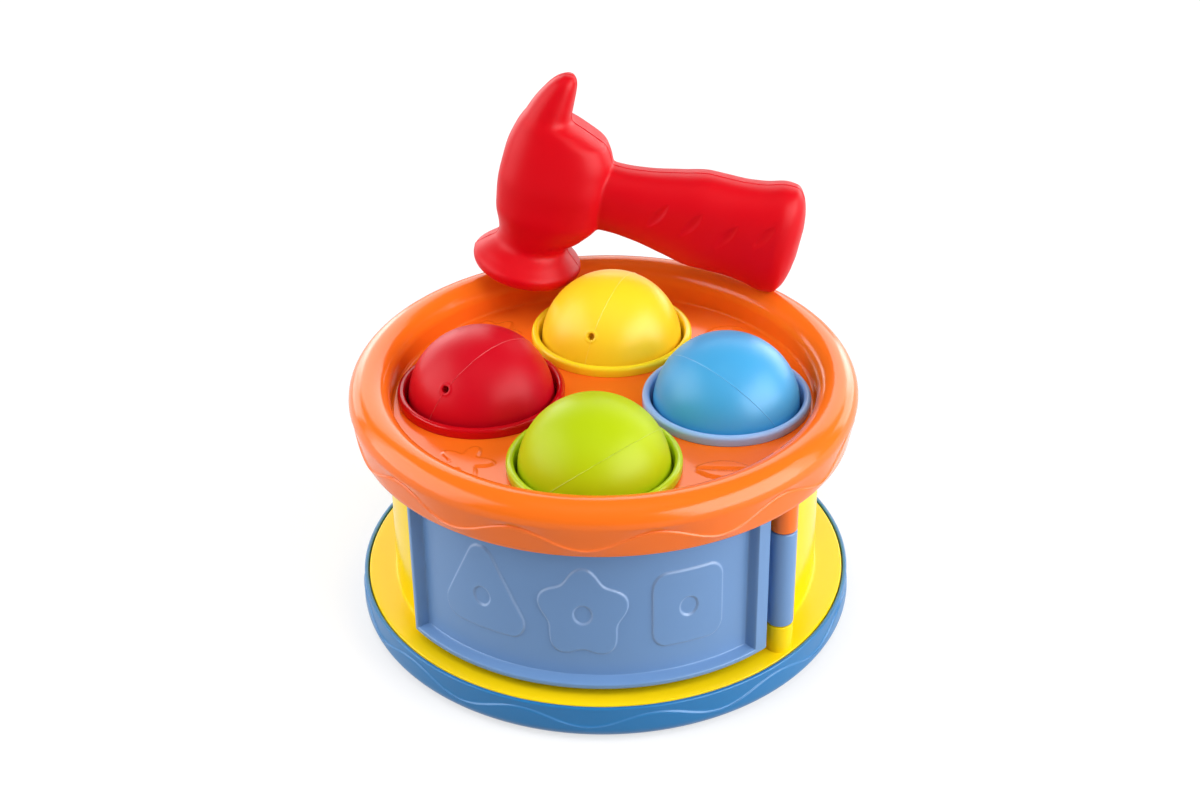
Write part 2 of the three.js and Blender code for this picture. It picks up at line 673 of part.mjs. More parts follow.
function between(rings, steps) {
  const points = [];
  for (let i = 0; i + 1 < rings.length; i += 1) {
    for (let k = 0; k < steps; k += 1) {
      rings[i].forEach((point, j) => points.push(point.clone().lerp(rings[i + 1][j], k / steps)));
    }
  }
  return points;
}

function seatHammer(mesh) {
  const face = headRings().slice(0, 3);
  const facePoints = between([face[0].map(() => new THREE.Vector3()), ...face], 8);
  const handlePoints = between(handleRings().slice(1), 8);
  let [low, high] = [0, Math.PI / 6];
  for (let i = 0; i < 40; i += 1) {
    const tilt = (low + high) / 2;
    const matrix = hammerTurn(tilt);
    if (neededLift(handlePoints, matrix) < neededLift(facePoints, matrix)) low = tilt;
    else high = tilt;
  }
  const seated = hammerTurn(low);
  const lift = neededLift(facePoints, seated) + FIT;
  seated.premultiply(new THREE.Matrix4().makeTranslation(0, 0, lift));
  seated.decompose(mesh.position, mesh.quaternion, mesh.scale);
}

// The four balls stand at the front, right, back and left. Each blow hole points along its hole direction.
const collars = [
  { colour: 'green', azimuth: -90, ring: 0x95ba1d, ball: 0xc1d416, hole: [-0.26, 0.72, -0.65] },
  { colour: 'blue', azimuth: 0, ring: 0x95a2c5, ball: 0x51b1e1, hole: [0.78, -0.6, -0.17] },
  { colour: 'yellow', azimuth: 90, ring: 0xfde231, ball: 0xfce53f, hole: [-0.23, -0.83, 0.51] },
  { colour: 'red', azimuth: 180, ring: 0xd21c28, ball: 0xd11627, hole: [-0.37, -0.74, 0.56] },
].map((collar) => ({ ...collar, place: polar(ballCircle, collar.azimuth) }));

add('base', makeBase(), navy);
add('drum_body', makeDrumBody(), yellow);
add('tray', makeTray(), orange);
const collarGeometry = makeCollar();
const ballGeometry = makeBall();
for (const { colour, place, ring, ball, hole } of collars) {
  const seat = add(`${colour}_collar`, collarGeometry, plastic(ring, 0.25));
  seat.position.set(place.x, place.y, 0);
  const sphere = add(`${colour}_ball`, ballGeometry, plastic(ball, 0.4));
  sphere.position.set(place.x, place.y, ballHeight);
  sphere.quaternion.setFromUnitVectors(new THREE.Vector3(0, 0, 1), new THREE.Vector3(...hole).normalize());
}
add('door', makeDoor(), doorBlue);
seatHammer(add('hammer', makeHammer(), hammerRed));
baseScrewPlaces.forEach((place, i) => {
  add(`base_screw_${i + 1}`, makeScrew(BASE_SCREW_LENGTH), steel).position.set(place.x, place.y, 0);
});
postPlaces.forEach((place, i) => {
  add(`tray_screw_${i + 1}`, makeScrew(TRAY_SCREW_LENGTH), steel).position.set(place.x, place.y, 0);
});

export default toy;
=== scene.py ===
import math

import bmesh
import bpy
import numpy as np
from mathutils import Matrix, Vector


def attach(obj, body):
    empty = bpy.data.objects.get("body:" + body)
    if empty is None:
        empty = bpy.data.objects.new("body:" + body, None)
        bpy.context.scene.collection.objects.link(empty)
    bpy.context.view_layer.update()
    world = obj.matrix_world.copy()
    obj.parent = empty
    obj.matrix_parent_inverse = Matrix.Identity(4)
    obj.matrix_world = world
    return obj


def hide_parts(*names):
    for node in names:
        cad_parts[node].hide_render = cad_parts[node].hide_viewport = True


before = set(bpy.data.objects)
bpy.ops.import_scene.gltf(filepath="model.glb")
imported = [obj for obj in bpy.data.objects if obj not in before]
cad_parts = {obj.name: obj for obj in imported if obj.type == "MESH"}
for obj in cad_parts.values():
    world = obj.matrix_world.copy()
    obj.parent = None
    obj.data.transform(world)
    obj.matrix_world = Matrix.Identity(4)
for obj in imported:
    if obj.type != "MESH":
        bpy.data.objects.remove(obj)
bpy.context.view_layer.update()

# Shapes are written in millimetres, in the frame of the part: +Z up, the door at the front towards -Y,
# the origin on the drum's axis. Azimuths are degrees from +X about +Z. Profiles are (radius, height).
MM = 0.001
FIT = 0.3  # clearance between pieces that fit into each other
CUT_MARGIN = 1.0  # how far a cutting tool, or the root of a pin, runs past a face
POST_ROUNDING = 0.5
MERGE_DISTANCE = 1e-7  # in metres, between points that become one
PLANE_TOLERANCE = 1e-8  # in metres, between a cutting plane and the points on it

# Edges sharper than this many degrees stay sharp, on most pieces and on the balls and the hammer
SHARP_ANGLE = 40.0
SKIN_SHARP_ANGLE = 60.0

# Facets round each kind of piece
DRUM_SEGMENTS = 384
TRAY_SEGMENTS = 576
COLLAR_SEGMENTS = 192
BALL_SEGMENTS = 160
KNUCKLE_SEGMENTS = 64
POST_SEGMENTS = 48
SCREW_SEGMENTS = 40
HAMMER_SEGMENTS = 96

# Facets along the stretches of the profiles
EDGE_STEPS = 4
FILLET_STEPS = 6
BASE_FLOOR_STEPS = 8
BASE_EDGE_STEPS = 12
PLATE_STEPS = 4
PLATE_EDGE_STEPS = 5
TRAY_FLOOR_STEPS = 140
RIM_STEPS = 40
RIM_INSIDE_STEPS = 16
COLLAR_FOOT_STEPS = 3
COLLAR_CROWN_STEPS = 20
LIP_STEPS = 24
BALL_STEPS = 84

# Balls and collars
BALL_RADIUS = 25.0
BALL_SINK = 4.6  # ball's centre below the collar's crown
BALL_SEAM = (0.2, 0.14, 0.15)  # half width, rise and paleness
BLOW_HOLE = 1.3
BLOW_HOLE_NECK = BLOW_HOLE * 0.95
BLOW_HOLE_END = BLOW_HOLE * 0.8
BLOW_HOLE_DEPTH = 3.5
LIP_RADIUS = 1.9
LIP_WIDTH = 0.45
LIP_RISE = 0.2
LIP_SPAN = 8.0  # degrees of the ball's profile that have close rows for the lip
COLLAR_WALL = 1.7
COLLAR_LEDGE = 1.6  # bead's overhang beyond the tube
COLLAR_SPACING = 1.9
COLLAR_RISE = 3.6  # crown above the tray floor
COLLAR_REACH = 11.0  # tube below the tray floor
COLLAR_FLARE = 0.7  # extra opening at the collar's mouth
COLLAR_BARB = 1.2  # snap bump under the tray floor
FINGER_COUNT = 6
FINGER_SLOT = 2.4
GRIP_RADIUS = BALL_RADIUS + FIT
TUBE_RADIUS = GRIP_RADIUS + COLLAR_WALL
COLLAR_RADIUS = TUBE_RADIUS + COLLAR_LEDGE
BALL_CIRCLE = (2 * COLLAR_RADIUS + COLLAR_SPACING) / math.sqrt(2)

# Drum body
FLOOR_MARGIN = 1.6  # tray floor outside the collars
FLOOR_RADIUS = BALL_CIRCLE + COLLAR_RADIUS + FLOOR_MARGIN
WALL_THICKNESS = 2.0
WALL_HEIGHT = 62.1
WALL_FILLET = 1.0
WALL_EDGE = 0.4
WALL_INNER = FLOOR_RADIUS
WALL_OUTER = WALL_INNER + WALL_THICKNESS
PLATE_FLANGE = 10.0  # plate's width outside the wall
PLATE_THICKNESS = 2.6
PLATE_EDGE = 0.7
PLATE_RADIUS = WALL_OUTER + PLATE_FLANGE
PLATE_TOP = 13.3
PLATE_BOTTOM = PLATE_TOP - PLATE_THICKNESS
WALL_TOP = PLATE_TOP + WALL_HEIGHT

# Base
BASE_RIM = 1.4
BASE_EDGE = 5.0
BASE_LIP = 0.5
BASE_LEDGE = 2.4  # width of the step that carries the plate's edge
BASE_FLOOR = 2.4
BASE_RELIEF = 0.5
BASE_INNER = PLATE_RADIUS + FIT
BASE_RADIUS = BASE_INNER + BASE_RIM

# Tray
TRAY_FLOOR = 2.6
FLOOR_TOP = WALL_TOP + TRAY_FLOOR
FLOOR_FILLET = 1.2
RIM_BEAD = 7.0  # radius of the rolled rim
RIM_RISE = 5.5  # centre of the rolled rim above the floor
RIM_RADIUS = FLOOR_RADIUS + RIM_BEAD
RIM_HEIGHT = FLOOR_TOP + RIM_RISE
SKIRT_DROP = 6.0  # skirt's lower edge below the floor
SKIRT_DRAFT = 2.4  # how far the skirt draws in on its way down
SKIRT_WALL = 2.3
SKIRT_EDGE = 0.6
SKIRT_RELIEF = 0.5
SKIRT_TOP_RADIUS = RIM_RADIUS + RIM_BEAD
SKIRT_BOTTOM = FLOOR_TOP - SKIRT_DROP
SKIRT_RADIUS = SKIRT_TOP_RADIUS - SKIRT_DRAFT
REGISTER_RADIUS = WALL_OUTER + FIT
REGISTER_WALL = 1.6
REGISTER_DEPTH = 2.5
MOTIF_CIRCLE = 59.5
MOTIF_RADIUS = 10.0
MOTIF_RISE = 0.6
MOTIF_EDGE = (-0.3, 0.4)  # where its slope starts and ends, inside its outline
STAR_LOBES = (5, 0.72, 0.24)  # count, and middle and swing as shares of the motif's radius
FLOWER_LOBES = (6, 0.78, 0.16)
FLOWER_EYE = MOTIF_RADIUS * 0.26
LEAF_REACH = MOTIF_RADIUS * 1.25  # radius of both its sides
LEAF_OFFSET = MOTIF_RADIUS * 0.75  # their centres from its middle
LEAF_VEIN = MOTIF_RADIUS * 0.05
MOON_RADIUS = MOTIF_RADIUS * 0.9
MOON_BITE = MOTIF_RADIUS * 0.72
MOON_SHIFT = MOTIF_RADIUS * 0.5  # centre of the bite from the moon's
COLLAR_CROWN = FLOOR_TOP + COLLAR_RISE
BALL_HEIGHT = COLLAR_CROWN - BALL_SINK

# Wavy relief round the skirt and the base: its lowest point and how far it rises
WAVE_COUNT = 12
SKIRT_WAVE = (SKIRT_BOTTOM + 3.3, 6.2)
BASE_WAVE = (5.8, 5.2)
WAVE_EDGE = 0.28
# Painted highlight along the wave band's edge: how pale its skin turns
WAVE_PAINTED_HIGHLIGHT = 0.06
WAVE_EDGE_ROWS = 5
WAVE_WALL_ROWS = 8

# Door and hinge
DOOR_LEFT = -139.8
DOOR_RIGHT = -43.5
DOOR_CLEARANCE = 2.7  # door above the plate
DOOR_HEADROOM = 0.7  # door below the skirt's edge
DOOR_GAP = 0.4  # between the wall and the inside of the door
DOOR_LAP = 4.0  # door beyond the sides of the doorway
DOOR_TOP_LAP = 2.5
DOORWAY_SILL = 0.02  # keeps the doorway's cut off the plate's face
DOOR_BOTTOM = PLATE_TOP + DOOR_CLEARANCE
DOOR_TOP = SKIRT_BOTTOM - DOOR_HEADROOM
DOORWAY_TOP = DOOR_TOP - DOOR_TOP_LAP
PANEL_THICKNESS = 1.3
DOOR_INNER = WALL_OUTER + DOOR_GAP
PANEL_OUTER = DOOR_INNER + PANEL_THICKNESS
RIB_RISE = 3.8
RIB_WIDTH = 2.6
HINGE_RIB_WIDTH = 5.8
RIB_ROUNDING = 1.0
RIB_DRAFT = 0.75
PANEL_GRID = 0.31
RIB_GRID = 0.14
RIB_MARGIN = 1.0  # how far the ribs' closer grid goes past them
FIGURE_RISE = 0.6
FIGURE_WIDTH = 30.0
FIGURE_HEIGHT = 36.0
FIGURE_ROUNDING = 5.0
FIGURE_EYE = 3.0  # radius of the opening in each figure
FIGURE_PITCH = 26.0  # degrees between the figures
FIGURE_SHIFT = 0.4  # degrees from the door's middle towards the hinge
FIGURE_EDGE = 0.26
# Painted highlight along the figures' edges: its width and how pale it gets
FIGURE_HIGHLIGHT_WIDTH = 0.35
FIGURE_PAINTED_HIGHLIGHT = 0.2
PETAL_COUNT = 5
PETAL_DEPTH = 1.7
HINGE_AZIMUTH = -38.7
HINGE_POST_HEIGHT = 10.4  # lower hinge post above the plate
KNUCKLE_RADIUS = 4.5
KNUCKLE_LENGTH = 37.1
KNUCKLE_ROUNDING = 0.6
KNUCKLE_BOTTOM = PLATE_TOP + HINGE_POST_HEIGHT + FIT
KNUCKLE_TOP = KNUCKLE_BOTTOM + KNUCKLE_LENGTH
HINGE_RADIUS = WALL_OUTER + FIT + KNUCKLE_RADIUS
STRAP_RISE = 0.9  # front of the hinge's leaf above the panel's face
STRAP_DEPTH = 0.6  # back of the leaf below that face
PIN_RADIUS = 2.2
PIN_LENGTH = 8.0

# Hammer, in its own frame: X along the handle, Z from the striking face to the claw. Its widths and
# thicknesses are halves, and so are the handle's heights at root, palm and end. A squareness of 2 is round.
FACE_RADIUS = 19.8
FACE_EDGE = 4.0
NECK_RADIUS = 12.8
NECK_HEIGHT = 12.0
CLAW_TIP = 77.9
HEAD_WIDTH = 19.8
HEAD_THICKNESS = 16.0
HEAD_LEAN = 4.2
HEAD_SQUARENESS = 3.0
SHOULDER_SQUARENESS = 2.8
CLAW_HEIGHT = 61.5
CLAW_WIDTH = 8.1
CLAW_THICKNESS = 9.6
CLAW_SQUARENESS = 2.3
CLAW_LEAN = 2.3
HANDLE_HEIGHT = 36.0
HANDLE_LENGTH = 93.8
HANDLE_ROOT = 12.3
HANDLE_PALM = 17.8
HANDLE_END = 21.2
HANDLE_CAP = 9.0
HANDLE_THICKNESS = 12.4
HANDLE_SQUARENESS = 2.5
HEAD_ROWS = 120
HANDLE_ROWS = 90
CAP_ROWS = 30
CAP_SHARE = 0.65  # share of the rounded end that has close rows
HAMMER_VOXEL = 0.5
SOFTEN_FACTOR = 0.5
SOFTEN_ROUNDS = 16
HAMMER_SEAM = (0.25, 0.16, 0.0)  # half width, rise and paleness
# Dents for the fingers, on both sides of the handle: place along it and height
GRIP_MARKS = ((43.0, 38.4), (55.2, 38.6), (68.0, 37.3), (80.8, 40.7))
MARK_SLANT = 60.0
MARK_REACH = 6.2
MARK_WIDTH = 1.8
MARK_DEPTH = 0.6
MARK_END = 1e-6  # least share of the width, at the ends of a dent
# Where the centre of its striking face stands, and how it is turned
HAMMER_PLACE = (-32.93, 64.91, 93.26)
HAMMER_HEADING = -4.55
HAMMER_TILT = 11.63

# Screws, and the posts and bosses that they go into
SCREW_RADIUS = 1.5
SCREW_HEAD_RADIUS = 3.0
SCREW_HEAD_HEIGHT = 1.8
SCREW_ROUNDING = 1.2
SCREW_RECESS = 2.6
CROSS_LENGTH = 3.6
CROSS_WIDTH = 0.8
CROSS_DEPTH = 1.0
BASE_SCREW_LENGTH = 9.5
TRAY_SCREW_LENGTH = 24.0
SCREW_END_GAP = 1.0
HOLE_RADIUS = SCREW_RADIUS + FIT
BOSS_WALL = 2.4
BOSS_RADIUS = HOLE_RADIUS + BOSS_WALL
POST_INSET = 2.0  # between a tray post and the drum wall
POST_CIRCLE = WALL_INNER - POST_INSET - BOSS_RADIUS
POST_AZIMUTHS = (45, 135, -155, -25)
BASE_SCREW_CIRCLE = BASE_INNER - BASE_LEDGE - FIT - BOSS_RADIUS
BASE_SCREW_AZIMUTHS = (10, 90, 170, -90)

# The photograph's view: camera place and target, in millimetres, and its lens
CAMERA_PLACE = (44.71, -578.65, 436.15)
CAMERA_TARGET = (0.0, 0.0, 76.90)
CAMERA_ROLL = -0.733
FOCAL_PIXELS = 2002.57
PHOTO_WIDTH = 1200
SENSOR_WIDTH = 36.0
CENTRE_OFFSET_PIXELS = 3.5

# Studio lamps, in metres: place, size and power in watts, and whether dull and glossy skins show them
LAMPS = {
    "left": ((-0.93, -0.18, 0.5), (1.1, 1.0), 10.5, True, True),
    "right": ((0.9, -0.32, 0.46), (1.2, 0.95), 15.0, True, True),
    "back": ((0.0, 1.4, 0.75), (2.4, 1.1), 11.0, True, True),
    "overhead": ((0.0, -0.2, 1.4), (0.8, 0.8), 5.5, True, False),
    "front_fill": ((0.05, -0.75, 1.4), (1.0, 0.8), 2.2, True, False),
    "left_gleam": ((-0.92, -0.05, 0.5), (1.0, 0.9), 6.0, False, True),
    "right_gleam": ((0.85, -0.45, 0.46), (1.1, 0.9), 15.0, False, True),
    "back_gleam": ((0.0, 1.37, 0.75), (2.0, 1.0), 12.0, False, True),
    "left_back_gleam": ((-0.95, 1.15, 0.28), (1.0, 0.7), 7.5, False, True),
    "right_back_gleam": ((0.95, 1.15, 0.28), (1.0, 0.7), 9.5, False, True),
}
LAMP_TARGET = (0.0, 0.0, 0.07)
SKY_STRENGTH = 0.1
WHITE = (1.0, 1.0, 1.0, 1.0)
FLOOR_SIZE = 8.0
FLOOR_COLOUR = 0.35
FLOOR_ROUGHNESS = 0.9
FLOOR_GLOW = 0.62

# Finish of each kind of plastic: roughness, grain size per metre, grain depth, shine, clear coat, glow
FINISHES = {
    "gloss": (0.16, 350.0, 0.008, 0.25, 0.05, 0.0),
    "mild": (0.2, 350.0, 0.008, 0.14, 0.0, 0.0),
    "semi": (0.34, 700.0, 0.004, 0.4, 0.0, 0.0),
    "satin": (0.4, 900.0, 0.015, 0.13, 0.0, 0.05),
    "silky": (0.38, 900.0, 0.015, 0.3, 0.0, 0.05),
}
PLASTIC_IOR = 1.49
COAT_ROUGHNESS = 0.06
GLOW_DEPTH = 0.002  # in metres
CLOUD_SCALE = 60.0
CLOUD_TINT = 0.015
GLOSS_SPREAD = 0.15  # change of roughness in the clouds, as a share
NOISE_DETAIL = 2.0
PALEST = 0.5  # way to white where the skin is marked as fully pale
STEEL_COLOUR = (0.52, 0.53, 0.55, 1.0)
STEEL_GRAIN = 1200.0
STEEL_ROUGHNESS = (0.25, 0.5)
# Colour, 0 to 255, and finish of each material slot
SLOTS = {
    "base_blue": ((30, 114, 172), "semi"),
    "drum_yellow": ((248, 212, 14), "mild"),
    "tray_orange": ((246, 114, 28), "gloss"),
    "collar_red": ((196, 6, 20), "gloss"),
    "collar_yellow": ((255, 226, 38), "gloss"),
    "collar_blue": ((150, 190, 240), "gloss"),
    "collar_green": ((186, 214, 28), "gloss"),
    "ball_red": ((196, 6, 28), "satin"),
    "ball_yellow": ((252, 212, 36), "silky"),
    "ball_blue": ((66, 160, 214), "silky"),
    "ball_green": ((176, 198, 8), "satin"),
    "door_blue": ((106, 144, 192), "semi"),
    "hammer_red": ((208, 3, 20), "satin"),
}


# Numbers and outlines
def smoothstep(value, low, high):
    share = np.clip((value - low) / (high - low), 0.0, 1.0)
    return share * share * (3.0 - 2.0 * share)


def arc(centre_r, centre_z, radius, start, end, steps):
    angles = np.radians(np.linspace(start, end, steps + 1))
    return [(centre_r + radius * math.cos(a), centre_z + radius * math.sin(a)) for a in angles]


def line(start, end, steps):
    return [tuple(p) for p in np.linspace(start, end, steps + 1)]


def polar(radius, azimuth):
    angle = math.radians(azimuth)
    return radius * math.cos(angle), radius * math.sin(angle)


def through(places, values, wanted):
    """Smooth curve through points that never swings past its neighbours."""
    places = np.asarray(places, float)
    values = np.asarray(values, float)
    steps = np.diff(places)
    slopes = np.diff(values) / steps
    tangents = np.concatenate([[slopes[0]], np.zeros(len(slopes) - 1), [slopes[-1]]])
    same_way = slopes[:-1] * slopes[1:] > 0.0
    weights = 2.0 * slopes[:-1] * slopes[1:] / np.where(same_way, slopes[:-1] + slopes[1:], 1.0)
    tangents[1:-1] = np.where(same_way, weights, 0.0)
    spot = np.clip(np.searchsorted(places, wanted, side="right") - 1, 0, len(steps) - 1)
    rise = steps[spot]
    t = (wanted - places[spot]) / rise
    return (
        (2 * t**3 - 3 * t**2 + 1) * values[spot]
        + (t**3 - 2 * t**2 + t) * rise * tangents[spot]
        + (3 * t**2 - 2 * t**3) * values[spot + 1]
        + (t**3 - t**2) * rise * tangents[spot + 1]
    )


def spaced(start, end, fine_start, fine_end):
    """Places from start to end, closer together at the ribs near both ends."""
    low = np.arange(start, start + fine_start, RIB_GRID)
    high = end - np.arange(0.0, fine_end, RIB_GRID)[::-1]
    steps = int((end - start - fine_start - fine_end) / PANEL_GRID)
    return np.concatenate([low, np.linspace(start + fine_start, end - fine_end, steps + 1), high])


# Meshes
def grid_faces(rows, columns, wrap_columns):
    faces = []
    for i in range(rows - 1):
        for j in range(columns if wrap_columns else columns - 1):
            k = (j + 1) % columns
            faces.append((i * columns + j, i * columns + k, (i + 1) * columns + k, (i + 1) * columns + j))
    return faces


def revolved(profile, segments=DRUM_SEGMENTS, place=(0.0, 0.0), relief=None):
    """Body turned about an upright axis. relief(azimuth, radius, height) gives extra radius and height."""
    outline = np.array(profile, float)
    azimuths = np.linspace(-180.0, 180.0, segments, endpoint=False)
    radius = np.repeat(outline[:, :1], segments, axis=1)
    height = np.repeat(outline[:, 1:], segments, axis=1)
    if relief is not None:
        out, up = relief(azimuths[None, :], radius, height)
        radius = radius + out
        height = height + up
    x = place[0] + radius * np.cos(np.radians(azimuths))
    y = place[1] + radius * np.sin(np.radians(azimuths))
    return np.stack([x, y, height], axis=-1).reshape(-1, 3), grid_faces(len(outline), segments, True)


def arc_block(inner, outer, start, end, bottom, top):
    """Curved wall between two azimuths, one facet about every degree."""
    steps = max(int(abs(end - start)), 2)
    points = []
    for azimuth in np.linspace(start, end, steps + 1):
        for radius, height in ((inner, bottom), (outer, bottom), (outer, top), (inner, top)):
            points.append((*polar(radius, azimuth), height))
    faces = grid_faces(steps + 1, 4, True)
    faces.append((0, 1, 2, 3))
    faces.append(tuple(4 * steps + k for k in (3, 2, 1, 0)))
    return np.array(points), faces


def post(radius, bottom, top, place, rounding=POST_ROUNDING, segments=POST_SEGMENTS):
    """Upright pin with rounded ends."""
    return revolved([
        (0.0, bottom),
        *arc(radius - rounding, bottom + rounding, rounding, -90, 0, EDGE_STEPS),
        *arc(radius - rounding, top - rounding, rounding, 0, 90, EDGE_STEPS),
        (0.0, top),
    ], segments, place)


def drill(radius, bottom, top, place, segments=POST_SEGMENTS):
    return revolved([(0.0, bottom), (radius, bottom), (radius, top), (0.0, top)], segments, place)


def lofted(rings):
    rows, columns, _ = rings.shape
    faces = grid_faces(rows, columns, True)
    faces.append(tuple(range(columns)))
    faces.append(tuple((rows - 1) * columns + j for j in range(columns)))
    return rings.reshape(-1, 3), faces


def joined(parts):
    points = []
    faces = []
    start = 0
    for part_points, part_faces in parts:
        points.append(np.asarray(part_points, float))
        faces.extend(tuple(start + i for i in face) for face in part_faces)
        start += len(part_points)
    return np.concatenate(points), faces


def clean(mesh):
    """Merges doubled points, drops faces of no area and points every face out."""
    bm = bmesh.new()
    bm.from_mesh(mesh)
    bmesh.ops.remove_doubles(bm, verts=bm.verts, dist=MERGE_DISTANCE)
    bmesh.ops.dissolve_degenerate(bm, edges=bm.edges, dist=MERGE_DISTANCE)
    bmesh.ops.recalc_face_normals(bm, faces=bm.faces)
    bm.to_mesh(mesh)
    bm.free()


def shade(mesh, sharp_angle=SHARP_ANGLE):
    mesh.shade_smooth()
    mesh.set_sharp_from_angle(angle=math.radians(sharp_angle))


def make_object(name, part, sharp_angle=SHARP_ANGLE):
    points, faces = part
    mesh = bpy.data.meshes.new(name)
    mesh.from_pydata((np.asarray(points) * MM).tolist(), [], faces)
    clean(mesh)
    shade(mesh, sharp_angle)
    obj = bpy.data.objects.new(name, mesh)
    bpy.context.scene.collection.objects.link(obj)
    return obj


def placed_copy(source, name, place):
    copy = bpy.data.objects.new(name, source.data.copy())
    copy.data.transform(Matrix.Translation(Vector((*place, 0.0)) * MM))
    bpy.context.scene.collection.objects.link(copy)
    return copy


def apply_modifiers(obj):
    depsgraph = bpy.context.evaluated_depsgraph_get()
    mesh = bpy.data.meshes.new_from_object(obj.evaluated_get(depsgraph))
    obj.modifiers.clear()
    obj.data = mesh


def combine(obj, parts, operation):
    """Adds or cuts bodies that are clear of each other."""
    other = make_object("tool", joined(parts))
    modifier = obj.modifiers.new("combine", "BOOLEAN")
    modifier.operation = operation
    modifier.solver = "MANIFOLD"
    modifier.object = other
    apply_modifiers(obj)
    bpy.data.objects.remove(other)
    shade(obj.data)


def raise_seam(obj, normal, width, rise, paleness):
    """Raises a fine, paler ridge where a plane through the object's own origin cuts its skin."""
    normal = Vector(normal).normalized()
    bm = bmesh.new()
    bm.from_mesh(obj.data)
    for offset in (-width, 0.0, width):
        geometry = bm.verts[:] + bm.edges[:] + bm.faces[:]
        place = normal * offset * MM
        bmesh.ops.bisect_plane(bm, geom=geometry, plane_co=place, plane_no=normal, dist=PLANE_TOLERANCE)
    bm.normal_update()
    pale = bm.verts.layers.float.new("pale")
    ridge = [v for v in bm.verts if abs(v.co.dot(normal)) < MERGE_DISTANCE]
    for vertex in ridge:
        vertex.co += vertex.normal * rise * MM
        vertex[pale] = paleness
    bm.to_mesh(obj.data)
    bm.free()
    shade(obj.data, SKIN_SHARP_ANGLE)


def points_of(mesh):
    """Coordinates x, y and z of all points, in millimetres."""
    points = np.empty(3 * len(mesh.vertices))
    mesh.vertices.foreach_get("co", points)
    return points.reshape(-1, 3).T / MM


def paint_edge_highlight(mesh, paleness):
    """Paints a highlight by marking points as paler. paleness gives each share from its radius, azimuth and
    height.
    """
    x, y, z = points_of(mesh)
    pale = mesh.attributes.new("pale", "FLOAT", "POINT")
    pale.data.foreach_set("value", paleness(np.hypot(x, y), np.degrees(np.arctan2(y, x)), z))


# Materials
def linear(colour):
    """Linear light from sRGB levels of 0 to 255."""
    shares = [level / 255 for level in colour]
    return tuple(c / 12.92 if c <= 0.04045 else ((c + 0.055) / 1.055) ** 2.4 for c in shares)


def new_material(name):
    material = bpy.data.materials.new(name)
    material.use_nodes = True
    tree = material.node_tree
    return material, tree.nodes, tree.links, tree.nodes["Principled BSDF"]


def noise(nodes, links, place, scale):
    texture = nodes.new("ShaderNodeTexNoise")
    texture.inputs["Scale"].default_value = scale
    texture.inputs["Detail"].default_value = NOISE_DETAIL
    links.new(place.outputs["Object"], texture.inputs["Vector"])
    return texture


def vary_roughness(nodes, links, shader, texture, low, high):
    gloss = nodes.new("ShaderNodeMapRange")
    gloss.inputs["To Min"].default_value = low
    gloss.inputs["To Max"].default_value = high
    links.new(texture.outputs["Fac"], gloss.inputs["Value"])
    links.new(gloss.outputs["Result"], shader.inputs["Roughness"])


def plastic(slot):
    """Moulded plastic: even colour with faint clouding, uneven gloss and a fine skin."""
    colour, finish = SLOTS[slot]
    roughness, grain, grain_depth, shine, coat, glow = FINISHES[finish]
    material, nodes, links, shader = new_material(f"{slot}_plastic")
    base = linear(colour)
    shader.inputs["IOR"].default_value = PLASTIC_IOR
    shader.inputs["Specular IOR Level"].default_value = shine
    shader.inputs["Coat Weight"].default_value = coat
    shader.inputs["Coat Roughness"].default_value = COAT_ROUGHNESS
    shader.inputs["Subsurface Weight"].default_value = glow
    shader.inputs["Subsurface Radius"].default_value = base
    shader.inputs["Subsurface Scale"].default_value = GLOW_DEPTH
    place = nodes.new("ShaderNodeTexCoord")
    cloud = noise(nodes, links, place, CLOUD_SCALE)
    tint = nodes.new("ShaderNodeValToRGB")
    tint.color_ramp.elements[0].color = (*((1.0 - CLOUD_TINT) * c for c in base), 1.0)
    tint.color_ramp.elements[1].color = (*(min((1.0 + CLOUD_TINT) * c, 1.0) for c in base), 1.0)
    links.new(cloud.outputs["Fac"], tint.inputs["Fac"])
    # Mix towards white where the skin is marked pale: the painted highlights along wave and figure edges, and
    # the paler ball seams
    paleness_and_painted_highlight = nodes.new("ShaderNodeAttribute")
    paleness_and_painted_highlight.attribute_name = "pale"
    paler = nodes.new("ShaderNodeMix")
    paler.data_type = "RGBA"
    paler.inputs["B"].default_value = (*(PALEST + (1.0 - PALEST) * c for c in base), 1.0)
    links.new(paleness_and_painted_highlight.outputs["Fac"], paler.inputs["Factor"])
    links.new(tint.outputs["Color"], paler.inputs["A"])
    links.new(paler.outputs["Result"], shader.inputs["Base Color"])
    spread = roughness * GLOSS_SPREAD
    vary_roughness(nodes, links, shader, cloud, roughness - spread, roughness + spread)
    skin = noise(nodes, links, place, grain)
    bump = nodes.new("ShaderNodeBump")
    bump.inputs["Strength"].default_value = 1.0
    bump.inputs["Distance"].default_value = grain_depth * MM
    links.new(skin.outputs["Fac"], bump.inputs["Height"])
    links.new(bump.outputs["Normal"], shader.inputs["Normal"])
    return material


def steel():
    material, nodes, links, shader = new_material("screw_steel")
    shader.inputs["Base Color"].default_value = STEEL_COLOUR
    shader.inputs["Metallic"].default_value = 1.0
    place = nodes.new("ShaderNodeTexCoord")
    vary_roughness(nodes, links, shader, noise(nodes, links, place, STEEL_GRAIN), *STEEL_ROUGHNESS)
    return material


def dress(obj, body, node, slot, material=None):
    obj.data.materials.clear()
    obj.data.materials.append(material or plastic(slot))
    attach(obj, body)
    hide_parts(node)


# Wavy band: the rows of the wall follow the wave, and the band stands proud below its edge
def wave_middle(wave):
    low, rise = wave
    return low + rise / 2


